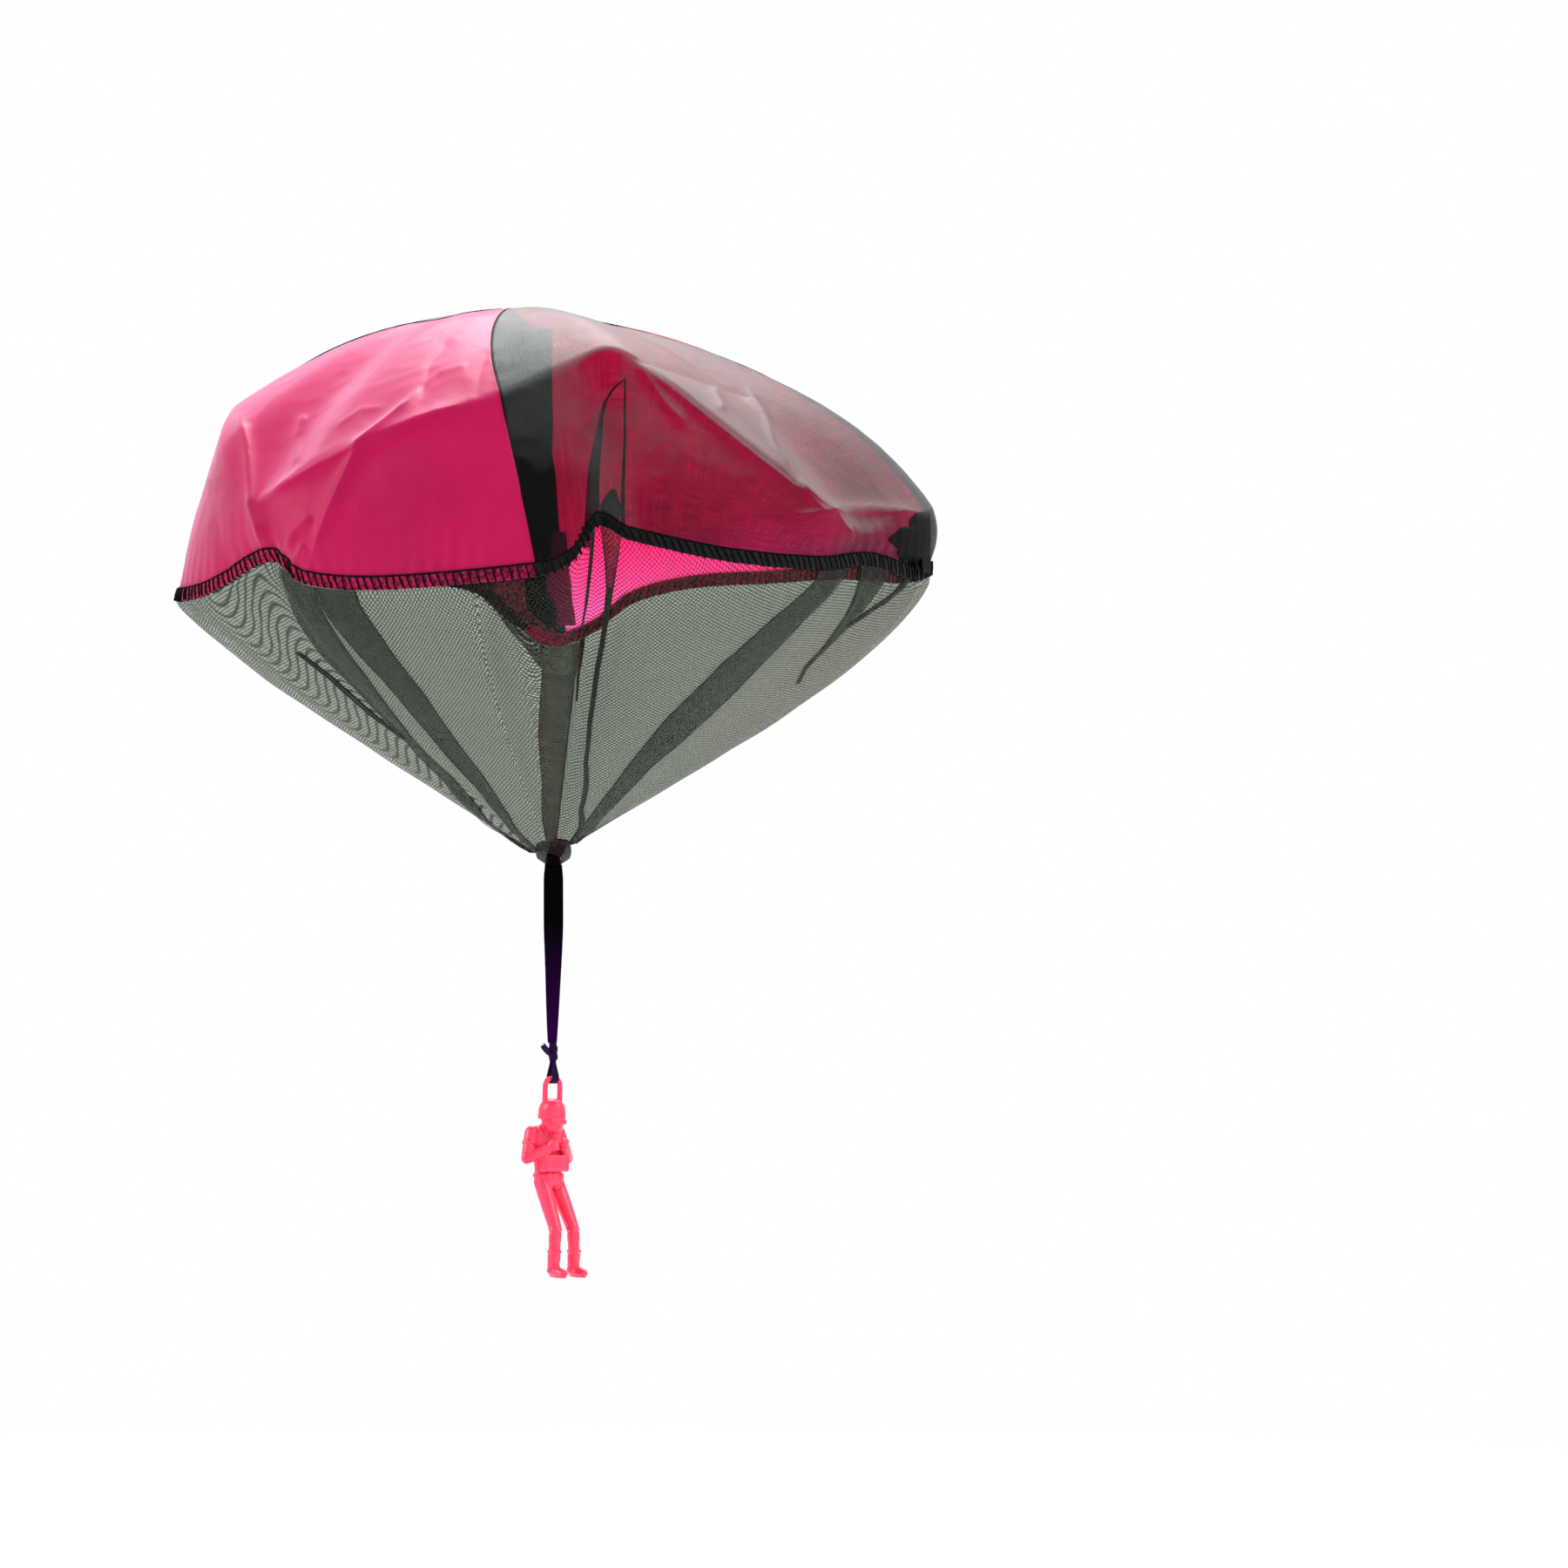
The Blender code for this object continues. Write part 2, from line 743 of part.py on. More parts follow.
# Helmet and head: share of the head's height from the crown, then half-width, half-depth and
# how far forward the middle lies, as shares of the head's own half-width, half-depth and depth
head_shares = (
    (0.00, 0.26, 0.28, 0.00),
    (0.04, 0.52, 0.54, 0.00),
    (0.13, 0.80, 0.82, 0.00),
    (0.28, 0.96, 0.97, 0.00),
    (0.44, 1.00, 1.00, 0.00),
    (0.56, 0.97, 0.98, 0.00),
    (0.60, 0.84, 0.84, 0.03),
    (0.72, 0.79, 0.80, 0.05),
    (0.86, 0.66, 0.68, 0.08),
    (0.96, 0.46, 0.48, 0.11),
    (1.00, 0.26, 0.28, 0.12),
)

# Torso: share of its height from the shoulders, half-width and half-depth as shares of its own
# half-width and half-depth, and how far forward its middle lies as a share of its depth
torso_shares = (
    (-0.06, 0.60, 0.60, -0.46),
    (0.03, 0.94, 0.86, -0.44),
    (0.18, 1.03, 1.00, -0.40),
    (0.40, 1.00, 1.00, -0.34),
    (0.66, 0.90, 0.92, -0.26),
    (0.88, 0.86, 0.88, -0.18),
    (1.00, 0.92, 0.92, -0.14),
    (1.14, 0.90, 0.90, -0.08),
    (1.24, 0.56, 0.60, -0.02),
)


def stack(name, shares, top, height, half_width, half_depth, depth, sides):
    """A solid of level oval rings down a table of shares."""
    side, front = Vector((1, 0, 0)), Vector((0, -1, 0))
    rings = []
    for down, wide, deep, forward in shares:
        centre = Vector((0, -forward * depth, top - height * down))
        rings.append(
            ellipse_ring(centre, side, front, half_width * wide, half_depth * deep, sides)
        )
    return loft(name, rings)


def figure_ring():
    """The closed U-shaped ring on the helmet, as a bent round bar."""
    crown = figure_heights()[0]
    reach = (ring_outer_width - ring_bar_diameter) / 2
    radius = ring_bar_diameter / 2
    points = [Vector((-reach, 0, crown - head_height * 0.20))]
    for i in range(ring_steps + 1):
        turn = math.pi * (1 - i / ring_steps)
        wide, high = math.cos(turn), math.sin(turn)
        points.append(
            Vector((
                math.copysign(reach * abs(wide) ** ring_squareness_share, wide),
                0,
                reach * (high**ring_squareness_share - 1),
            ))
        )
    points.append(Vector((reach, 0, crown - head_height * 0.20)))
    rings = []
    for i, point in enumerate(points):
        before, after = points[max(i - 1, 0)], points[min(i + 1, len(points) - 1)]
        along = (after - before).normalized()
        front = Vector((0, 1, 0))
        side = front.cross(along).normalized()
        rings.append(ellipse_ring(point, side, front, radius, radius, limb_sides))
    return loft("ring", rings)


def forward_at_shoulders():
    return torso_shares[1][3] * torso_depth


def figure_arm(sign):
    """Upper arm, forearm and fist of one side. The fists meet in front of the chest."""
    _, shoulders, belt, _, _ = figure_heights()
    chest = shoulders - belt
    back = forward_at_shoulders()
    shoulder = Vector((
        sign * (shoulder_width / 2 - upper_arm_radius), -back, shoulders - upper_arm_radius * 0.6,
    ))
    elbow = Vector((
        sign * (elbow_span / 2 - forearm_radius), -back * 0.55, shoulders - chest * 0.64,
    ))
    wrist = Vector((
        sign * hand_radius * 1.7, -(torso_depth * 0.42), shoulders - chest * 0.40,
    ))
    fist = Vector((
        sign * hand_radius * 1.02, -(torso_depth * 0.50), shoulders - chest * 0.34,
    ))
    upper = limb(
        "upper_arm",
        [shoulder, shoulder.lerp(elbow, 0.5), elbow],
        [upper_arm_radius, upper_arm_radius * 0.97, forearm_radius * 1.08],
        across=Vector((0, 1, 0)),
    )
    lower = limb(
        "forearm",
        [elbow, elbow.lerp(wrist, 0.45), wrist],
        [forearm_radius, forearm_radius * 1.05, forearm_radius * 0.82],
        across=Vector((0, 0, 1)),
    )
    hand = limb(
        "hand",
        [wrist.lerp(fist, 0.3), fist + Vector((0, 0, hand_radius * 0.35))],
        [hand_radius * 0.86, hand_radius * 0.92],
        across=Vector((0, 1, 0)),
    )
    return [upper, lower, hand]


def figure_leg(sign):
    """Thigh, shin, boot and foot of one side."""
    _, _, belt, knees, sole = figure_heights()
    hip = Vector((sign * torso_width * 0.25, torso_depth * 0.10, belt - thigh_radius * 0.75))
    knee = Vector((sign * feet_apart * 0.44, -knee_forward, knees))
    boot_top = Vector((sign * feet_apart / 2, -knee_forward * 1.03, sole + boot_height))
    heel = Vector((sign * feet_apart / 2, -knee_forward * 1.00, sole + foot_height * 0.5))
    thigh = limb(
        "thigh",
        [hip, hip.lerp(knee, 0.5), knee],
        [thigh_radius, (thigh_radius + knee_radius) * 0.53, knee_radius],
    )
    shin = limb(
        "shin",
        [knee, knee.lerp(boot_top, 0.45), boot_top - Vector((0, 0, moulding_overrun))],
        [knee_radius * 0.94, knee_radius * 0.98, ankle_radius],
    )
    boot = limb(
        "boot",
        [boot_top, boot_top.lerp(heel, 0.5), heel],
        [boot_radius, boot_radius * 0.88, boot_radius * 0.95],
    )
    toe = heel + Vector((0, -(foot_length - boot_radius * 1.9), -foot_height * 0.08))
    ball = heel.lerp(toe, 0.62)
    foot = limb(
        "foot",
        [heel, ball, toe],
        [foot_width * 0.48, foot_width * 0.54, foot_width * 0.44],
        flatten=foot_height / foot_width * 1.12,
    )
    return [thigh, shin, boot, foot]


def figure_harness(sign):
    """One shoulder strap that runs down to the middle of the chest."""
    _, shoulders, belt, _, _ = figure_heights()
    back = forward_at_shoulders()
    half_depth = torso_depth / 2
    over = Vector((sign * torso_width * 0.34, -back - half_depth * 0.55, shoulders))
    rise = harness_strap_width / 2
    chest = Vector((sign * rise, -back - half_depth * 0.84, shoulders - (shoulders - belt) * 0.44))
    return limb(
        "harness",
        [over, over.lerp(chest, 0.5) + Vector((0, -harness_strap_rise, 0)), chest],
        [rise, rise, rise],
        flatten=0.8,
    )


def make_skydiver(parent):
    """Lofts for the head, the torso, the limbs and the boots, united into the one moulding."""
    crown, shoulders, belt, _, sole = figure_heights()
    torso = stack(
        "skydiver", torso_shares, shoulders, shoulders - belt, torso_width / 2, torso_depth / 2,
        torso_depth, body_sides,
    )
    head = stack(
        "head", head_shares, crown, head_height, head_width / 2, head_depth / 2, head_depth, body_sides
    )
    back = forward_at_shoulders()
    neck = limb(
        "neck",
        [Vector((0, -back, shoulders - moulding_overrun)), Vector((0, 0, crown - head_height * 0.7))],
        [head_width * 0.30, head_width * 0.26],
    )
    pack_at = Vector((0, pack_depth * 0.62 - torso_depth / 2, belt + pack_height * 0.75))
    pack = block("pack", pack_at, (pack_width, pack_depth, pack_height), pack_depth * 0.18)
    belt_rings = [
        ellipse_ring(
            Vector((0, torso_depth * 0.15, belt + height)), Vector((1, 0, 0)), Vector((0, 1, 0)),
            torso_width * 0.455 + grow, torso_depth * 0.455 + grow, body_sides,
        )
        for height, grow in (
            (belt_height / 2, 0.0),
            (belt_height / 3, harness_strap_rise),
            (-belt_height / 3, harness_strap_rise),
            (-belt_height / 2, 0.0),
        )
    ]
    parts = [figure_harness(-1), figure_harness(1), figure_ring(), head, neck, pack]
    parts.append(loft("belt", belt_rings))
    for sign in (-1, 1):
        parts += figure_leg(sign)
        parts += figure_arm(sign)
    turn = Matrix.Rotation(math.radians(figure_turn), 4, "Z")
    turn = turn @ Matrix.Rotation(math.radians(figure_lean), 4, "X")
    torso.transform(turn)
    for part in parts:
        part.transform(turn)
    skydiver = place("skydiver", torso, moulded_plastic(), parent, (0, 0, ring_bar_height()))
    unite(skydiver, parts)
    cut_soles(skydiver, sole)
    return skydiver


def cut_soles(skydiver, level):
    """Takes off what the rounded feet have under the level of the soles."""
    reach = 2 * (foot_length + knee_forward + feet_apart)
    mesh = block("sole_cut", Vector((0, 0, level - reach / 2)), (reach, reach, reach), foot_height)
    cutter = bpy.data.objects.new("sole_cut_helper", mesh)
    cutter.location = skydiver.location
    cutter.hide_render = True
    cutter.display_type = "WIRE"
    bpy.context.scene.collection.objects.link(cutter)
    cut = skydiver.modifiers.new("soles", "BOOLEAN")
    cut.operation = "DIFFERENCE"
    cut.solver = "MANIFOLD"
    cut.object = cutter


def centre_of_mass(thing):
    """The middle of an object's volume, from its evaluated triangles."""
    shape = bmesh.new()
    shape.from_object(thing, bpy.context.evaluated_depsgraph_get())
    shape.transform(thing.matrix_world)
    volume, moment = 0.0, Vector((0, 0, 0))
    for a, b, c in (
        [loop.vert.co for loop in loops] for loops in shape.calc_loop_triangles()
    ):
        part = a.dot(b.cross(c)) / 6
        volume += part
        moment += (a + b + c) * (part / 4)
    shape.free()
    return moment / volume, volume


def main():
    clear_scene()
    canopy = pivot("canopy_frame", (0, 0, 0))
    nets = []
    for quarter in quarters:
        make_panel(quarter, canopy)
        make_hem(quarter, canopy)
        nets.append(make_net(quarter, canopy))
    make_tab(canopy, nets)
    gather = pivot("gather_pivot", (0, 0, -net_drop), canopy)
    make_gather(gather)
    swing = pivot("ribbon_pivot", (0, 0, ribbon_top_height()), gather)
    make_ribbon(swing)
    twist = pivot("knot_pivot", (0, 0, knot_top_height()), swing)
    make_knot(twist)
    make_tail(twist)
    make_loop(twist)
    ring = pivot("ring_pivot", (0, 0, ring_bar_height()), twist)
    skydiver = make_skydiver(ring)
    bpy.context.view_layer.update()
    middle, volume = centre_of_mass(skydiver)
    _, front = figure_axes()
    sole = ring_bar_height() + figure_heights()[4]
    print(f"gather pivot {-net_drop:.5f}, ribbon pivot {ribbon_top_height():.5f}")
    print(f"knot pivot {knot_top_height():.5f}, ring bar {ring_bar_height():.5f}, soles {sole:.5f}")
    print(f"skydiver {volume * 1e6:.2f} cm3, its middle {middle.dot(front) * 1000:.2f} mm forward")


main()
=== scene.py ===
# %% [markdown]
# Toy parachute: four pieces of thin nylon are sewn into a canopy, its edge is overlocked, and a skirt
# of fine net runs from the edge to a neck. A ribbon hangs from the neck and carries a moulded
# skydiver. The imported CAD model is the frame: it says where every piece is and what moves. This
# script makes the cloth, the threads and the plastic that are seen. Everything is in metres.

# %% Load the frame
import math

import bmesh
import bpy
import numpy as np
from mathutils import Matrix, Vector, noise
from mathutils.bvhtree import BVHTree


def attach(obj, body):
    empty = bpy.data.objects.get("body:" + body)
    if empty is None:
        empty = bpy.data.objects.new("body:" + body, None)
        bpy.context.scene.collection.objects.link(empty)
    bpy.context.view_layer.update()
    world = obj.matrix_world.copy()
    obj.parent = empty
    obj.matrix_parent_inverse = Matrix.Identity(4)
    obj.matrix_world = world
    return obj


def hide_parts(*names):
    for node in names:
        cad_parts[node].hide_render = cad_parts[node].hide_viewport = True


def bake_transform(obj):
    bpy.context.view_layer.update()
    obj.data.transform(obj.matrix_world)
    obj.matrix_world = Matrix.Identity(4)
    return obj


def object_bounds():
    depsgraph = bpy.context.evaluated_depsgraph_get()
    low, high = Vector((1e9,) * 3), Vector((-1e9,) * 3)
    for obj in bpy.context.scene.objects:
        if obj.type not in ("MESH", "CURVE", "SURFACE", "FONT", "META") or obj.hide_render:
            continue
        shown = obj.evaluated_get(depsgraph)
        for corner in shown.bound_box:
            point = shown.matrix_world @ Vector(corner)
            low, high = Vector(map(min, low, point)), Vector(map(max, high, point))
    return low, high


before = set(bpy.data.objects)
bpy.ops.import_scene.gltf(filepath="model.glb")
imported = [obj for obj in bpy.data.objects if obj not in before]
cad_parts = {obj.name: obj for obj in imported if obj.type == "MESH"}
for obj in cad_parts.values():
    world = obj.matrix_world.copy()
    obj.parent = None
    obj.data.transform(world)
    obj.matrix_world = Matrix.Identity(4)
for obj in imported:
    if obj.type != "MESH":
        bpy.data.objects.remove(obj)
cad_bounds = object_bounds()
scene = bpy.context.scene

# %% [markdown]
# The camera stands where the photographer stood: 2.6 m away, at the height of the skydiver, looking
# a little up. One pixel of the photograph is 0.44 mm at the toy, which gives the lens. The camera
# comes first, because the folds of the cloth are placed as they are seen from it.

# %% Camera
photo_pixels = 1800
pixel = 0.00044
hang_line_pixel = 635
crown_pixel = 355
camera_distance = 2.6
camera_height = -0.416
sensor = 36.0

view_centre = Vector((
    (photo_pixels / 2 - hang_line_pixel) * pixel,
    0,
    (crown_pixel - photo_pixels / 2) * pixel,
))
camera = bpy.data.objects.new("camera", bpy.data.cameras.new("camera"))
scene.collection.objects.link(camera)
scene.camera = camera
camera.location = (0, -camera_distance, camera_height)
camera.rotation_euler = (view_centre - camera.location).to_track_quat("-Z", "Y").to_euler()
camera.data.sensor_width = sensor
camera.data.lens = sensor * camera_distance / (photo_pixels * pixel)
print(f"lens {camera.data.lens:.1f} mm")

# %% [markdown]
# Every material is a small tree of nodes. One function turns a written colour into the linear
# numbers that Blender works with, and one adds a node with its settings and its links.


# %% Helpers for materials
def colour(hex_value):
    """An sRGB hex colour as linear red, green, blue and alpha."""
    parts = [int(hex_value[i : i + 2], 16) / 255 for i in (1, 3, 5)]
    linear = [c / 12.92 if c <= 0.04045 else ((c + 0.055) / 1.055) ** 2.4 for c in parts]
    return (*linear, 1.0)


def add(tree, kind, inputs=(), **settings):
    """A node of this kind. An input's value is a number, a colour or another node's output."""
    node = tree.nodes.new(kind)
    for name, value in settings.items():
        setattr(node, name, value)
    for name, value in dict(inputs).items():
        if isinstance(value, bpy.types.NodeSocket):
            tree.links.new(value, node.inputs[name])
        else:
            node.inputs[name].default_value = value
    return node


def new_material(name):
    """An empty material, its tree and its output."""
    material = bpy.data.materials.new(name)
    material.use_nodes = True
    tree = material.node_tree
    tree.nodes.clear()
    return material, tree, add(tree, "ShaderNodeOutputMaterial")


def maths(tree, operation, first, second=0.0, **settings):
    """The output of one operation on numbers or on other outputs."""
    return add(tree, "ShaderNodeMath", {0: first, 1: second}, operation=operation, **settings).outputs[0]


def map_range(tree, value, old, new=(0.0, 1.0), **settings):
    """A value's old range drawn onto a new one, and held inside it."""
    ends = {"From Min": old[0], "From Max": old[1], "To Min": new[0], "To Max": new[1]}
    return add(tree, "ShaderNodeMapRange", {"Value": value, **ends}, **settings).outputs[0]


def axis_of(tree, vector, axis):
    """One of a vector's three numbers."""
    return add(tree, "ShaderNodeSeparateXYZ", {0: vector}).outputs[axis]


def object_place(tree):
    """Where the shaded point lies on its object, in metres."""
    return add(tree, "ShaderNodeTexCoord").outputs["Object"]


def thread_place(tree):
    """Where the shaded point lies on the UV map that follows the threads, in metres."""
    return add(tree, "ShaderNodeUVMap", uv_map="threads").outputs[0]


def two_tone(tree, share, first, second, start=0.0, end=1.0):
    """A ramp of two colours: the first up to a share of start, the second from end on."""
    ramp = add(tree, "ShaderNodeValToRGB", {"Fac": share})
    for i, (place, tone) in enumerate(((start, first), (end, second))):
        ramp.color_ramp.elements[i].position = place
        ramp.color_ramp.elements[i].color = colour(tone)
    return ramp.outputs["Color"]


def mixed(tree, share, first, second):
    """Two colours mixed by a share."""
    tones = {"Factor": share, "A": colour(first), "B": colour(second)}
    return add(tree, "ShaderNodeMix", tones, data_type="RGBA").outputs["Result"]


def relief(tree, height, depth, strength):
    """Normals of a surface that a height raises by up to this depth."""
    settings = {"Height": height, "Distance": depth, "Strength": strength}
    return add(tree, "ShaderNodeBump", settings).outputs[0]


def dressed(material, tree, out, shader):
    """The finished material, with a shader on its output."""
    tree.links.new(shader.outputs[0], out.inputs["Surface"])
    return material


# %% [markdown]
# The studio is plain: a pale floor under the toy, a white background, a large soft lamp above, one at
# each side and a weak one in front. The cloth's top is lit more strongly than its walls, as in
# daylight.

# %% Studio
floor_gap = 0.13
floor_half_width = 6.0
floor_clear_radius = 0.45
floor_white_radius = 1.0
sky_light = 0.25
lamps = {
    "top": {"at": (0.15, 0.85, 1.35), "to": (0, 0, -0.1), "size": 1.1, "watts": 84.0},
    "left": {"at": (-1.8, -0.25, 0.75), "to": (0, 0, -0.15), "size": 0.7, "watts": 28.0},
    "right": {"at": (1.5, -0.7, 1.0), "to": (0.1, 0, -0.06), "size": 0.9, "watts": 24.0},
    "front": {"at": (0.5, -2.2, 0.3), "to": (0, 0, -0.3), "size": 1.2, "watts": 6.0},
}

world = bpy.data.worlds.new("studio")
scene.world = world
world.use_nodes = True
sky = world.node_tree
sky.nodes.clear()
path = add(sky, "ShaderNodeLightPath")
seen_directly = maths(sky, "MAXIMUM", path.outputs["Is Camera Ray"], path.outputs["Is Glossy Ray"])
seen = maths(sky, "MAXIMUM", seen_directly, path.outputs["Is Transmission Ray"])
strength = map_range(sky, seen, (0.0, 1.0), (sky_light, 1.0))
backdrop = add(sky, "ShaderNodeBackground", {"Color": colour("#FFFFFF"), "Strength": strength})
add(sky, "ShaderNodeOutputWorld", {"Surface": backdrop.outputs[0]})

for name, lamp in lamps.items():
    light = bpy.data.lights.new(name, "AREA")
    light.size = lamp["size"]
    light.energy = lamp["watts"]
    holder = bpy.data.objects.new(name, light)
    scene.collection.objects.link(holder)
    holder.location = lamp["at"]
    holder.rotation_euler = (Vector(lamp["to"]) - holder.location).to_track_quat("-Z", "Y").to_euler()

# Painted floor: matt and pale, so that it only takes the toy's soft shadow
paper, paper_tree, paper_out = new_material("matt_white_floor_paint")
paper_shader = add(paper_tree, "ShaderNodeBsdfDiffuse", {"Color": colour("#F4F4F4")})
white = add(paper_tree, "ShaderNodeEmission", {"Color": colour("#FFFFFF"), "Strength": 1.0})
from_toy = add(paper_tree, "ShaderNodeVectorMath", {0: object_place(paper_tree), 1: (0, 0, 0)},
               operation="DISTANCE")
far = map_range(paper_tree, from_toy.outputs["Value"], (floor_clear_radius, floor_white_radius),
                interpolation_type="SMOOTHSTEP")
ray = add(paper_tree, "ShaderNodeLightPath")
shown = maths(paper_tree, "MULTIPLY", far, ray.outputs["Is Camera Ray"])
paper_mix = add(paper_tree, "ShaderNodeMixShader", {
    "Fac": shown, 1: paper_shader.outputs[0], 2: white.outputs[0],
})
dressed(paper, paper_tree, paper_out, paper_mix)
floor_mesh = bpy.data.meshes.new("floor")
floor_level = cad_bounds[0][2] - floor_gap
floor_mesh.from_pydata(
    [(x * floor_half_width, y * floor_half_width, 0) for x, y in ((-1, -1), (1, -1), (1, 1), (-1, 1))],
    [],
    [(0, 1, 2, 3)],
)
floor = bpy.data.objects.new("floor", floor_mesh)
floor_mesh.materials.append(paper)
floor.location.z = floor_level
scene.collection.objects.link(floor)
scene.view_settings.view_transform = "Standard"

# %% [markdown]
# The canopy is a square patchwork that air has filled. Two lines describe it: the shoulder, where the
# dome turns down into the wall, and the hem's lower edge. Each is a table that runs round the toy,
# with reach and drop as shares of the canopy's half width and height, the same that the CAD model
# follows. A smooth curve reads them at any angle, so the cloth can be as fine as the folds need.

# %% Lines of the canopy
half_span = 0.190
hem_drop = 0.150
seam_gap = 0.0003
dome_top_left = 0.025
dome_top_rise = -0.0006
dome_curve = 2.1
full_side_rise = 0.0078
full_side_angle = 82.0
full_side_spread = 28.0
full_side_curve = 4.0
shoulder_share = 0.64
shoulder_round_share = 0.018
wall_bow = 0.003
dart_depth = 0.007
dart_angle = 9.0
dart_spread = 4.0
hem_width = 0.0065

# Angle in degrees from the near side towards the right, reach, drop
shoulder_shares = (
    (-90, 0.85, 0.33), (-72, 0.91, 0.50), (-56, 0.92, 0.73), (-44, 0.875, 0.61),
    (-27, 0.825, 0.51), (-10, 0.795, 0.41), (3, 0.76, 0.31), (12, 0.745, 0.26),
    (20, 0.785, 0.34), (30, 0.835, 0.48), (39, 0.875, 0.61), (48, 0.90, 0.72),
    (59, 0.90, 0.78), (74, 0.96, 0.72), (90, 1.01, 0.65), (112, 0.93, 0.62),
    (136, 0.87, 0.66), (156, 0.81, 0.50), (178, 0.78, 0.40), (200, 0.80, 0.46),
    (224, 0.87, 0.66), (248, 0.86, 0.48),
)
hem_shares = (
    (-90, 1.005, 0.985), (-72, 0.955, 1.005), (-54, 0.885, 0.925), (-46, 0.885, 1.01),
    (-30, 0.86, 1.045), (-3, 0.895, 1.02), (3, 0.895, 0.97), (7, 0.87, 0.855),
    (12, 0.895, 0.90), (29, 0.905, 0.955), (48, 0.905, 0.955), (63, 0.915, 0.915),
    (78, 0.965, 0.93), (90, 1.005, 0.885), (99, 0.98, 0.89), (122, 0.93, 0.835),
    (138, 0.915, 0.825), (154, 0.91, 0.825), (166, 0.91, 0.875), (173, 0.90, 0.98),
    (179, 0.895, 1.02), (187, 0.875, 0.96), (196, 0.82, 0.85), (212, 0.86, 0.82),
    (226, 0.90, 0.79), (240, 0.93, 0.79), (252, 0.955, 0.88),
)


def unit(vectors):
    """Vectors drawn to length 1."""
    return vectors / np.linalg.norm(vectors, axis=-1)[..., None]


def summed(steps):
    """The running total of steps, from 0."""
    return np.concatenate([[0], np.cumsum(steps)])


def distances(line):
    """How far along a line each of its points lies."""
    return summed(np.linalg.norm(np.diff(line, axis=0), axis=1))


def between(t, step, values, slopes, low, high):
    """Values at shares t of the way from rows low to rows high, on a smooth curve."""
    return (
        (2 * t**3 - 3 * t**2 + 1) * values[low]
        + (t**3 - 2 * t**2 + t) * step * slopes[low]
        + (3 * t**2 - 2 * t**3) * values[high]
        + (t**3 - t**2) * step * slopes[high]
    )


def around(table, angles):
    """Smooth values at any angle between the rows of a table that runs round a full turn."""
    knots = np.array([row[0] for row in table], float)
    values = np.array([row[1:] for row in table], float)
    count = len(knots)
    turned = np.mod(np.asarray(angles, float) - knots[0], 360.0) + knots[0]
    ends = np.append(knots, knots[0] + 360.0)
    low = np.clip(np.searchsorted(ends, turned, side="right") - 1, 0, count - 1)
    high = (low + 1) % count
    step = (ends[low + 1] - ends[low])[:, None]
    before = np.append(knots[-1] - 360.0, ends)
    slopes = (np.roll(values, -1, 0) - np.roll(values, 1, 0)) / (before[2:] - before[:-2])[:, None]
    return between((turned - ends[low])[:, None] / step, step, values, slopes, low, high)


def outward(angles):
    """Level unit vectors at these angles, counted from the near side towards the right."""
    turns = np.radians(angles)
    return np.stack([np.sin(turns), -np.cos(turns), np.zeros_like(turns)], axis=1)


def ring_line(table, angles):
    """Points of the shoulder or of the hem's lower edge."""
    reach, drop = around(table, angles).T
    points = outward(angles) * (reach * half_span)[:, None]
    points[:, 2] = -drop * hem_drop
    return points


def lower_edge(angles, height):
    """Points on the cloth this far above the hem's lower edge."""
    foot = ring_line(hem_shares, angles)
    up = ring_line(shoulder_shares, angles) - foot
    return foot + unit(up) * height


def turned_from(angles, middle):
    """How far angles are turned from a middle one, between -180 and 180."""
    return np.mod(angles - middle + 180.0, 360.0) - 180.0


def dart(angles):
    """How deep the pinched fold above the near hem lies at each angle."""
    off = turned_from(angles, dart_angle) / dart_spread
    return dart_depth * np.exp(-off * off)


def canopy_profile(angles, reach):
    """Points of the cloth for reach 0 at the dome's top, shoulder_share at the shoulder, 1 at the hem."""
    shoulder = ring_line(shoulder_shares, angles)
    edge = lower_edge(angles, hem_width + seam_gap)
    top = np.array([-dome_top_left, 0.0, dome_top_rise])
    on_top = np.clip(reach / shoulder_share, 0, 1)[:, None]
    points = top + (shoulder - top) * on_top
    points[:, 2] = top[2] + (shoulder[:, 2] - top[2]) * on_top[:, 0] ** dome_curve
    fullness = np.exp(-(turned_from(angles, full_side_angle) / full_side_spread) ** 2)
    points[:, 2] += full_side_rise * fullness * np.sin(math.pi * on_top[:, 0] ** full_side_curve)
    down = np.clip((reach - shoulder_share) / (1 - shoulder_share), 0, 1)[:, None]
    points = points + (edge - shoulder) * down
    bow = wall_bow * np.sin(math.pi * down) - dart(angles)[:, None] * np.sin(math.pi * down**0.7)
    return points + outward(angles) * bow


def canopy_points(disc):
    """Points of the cloth for places in a unit disc, with its shoulder rounded."""
    angles = np.degrees(np.arctan2(disc[:, 0], -disc[:, 1]))
    reach = np.linalg.norm(disc, axis=1)
    room = shoulder_round_share * np.tanh(np.minimum(1 - reach, reach) / shoulder_round_share)
    total = np.zeros((len(disc), 3))
    weights = (1, 4, 6, 4, 1)
    for offset, weight in zip((-1, -0.5, 0, 0.5, 1), weights):
        total += weight * canopy_profile(angles, reach + offset * room)
    return total / sum(weights)


# %% [markdown]
# Each quarter of the cloth is a square with one corner at the cross of the seams and two sides at
# the hem. A square is laid into a quarter of a disc, and the cross of the seams is slid towards the
# near side, because the real canopy hangs a little askew.

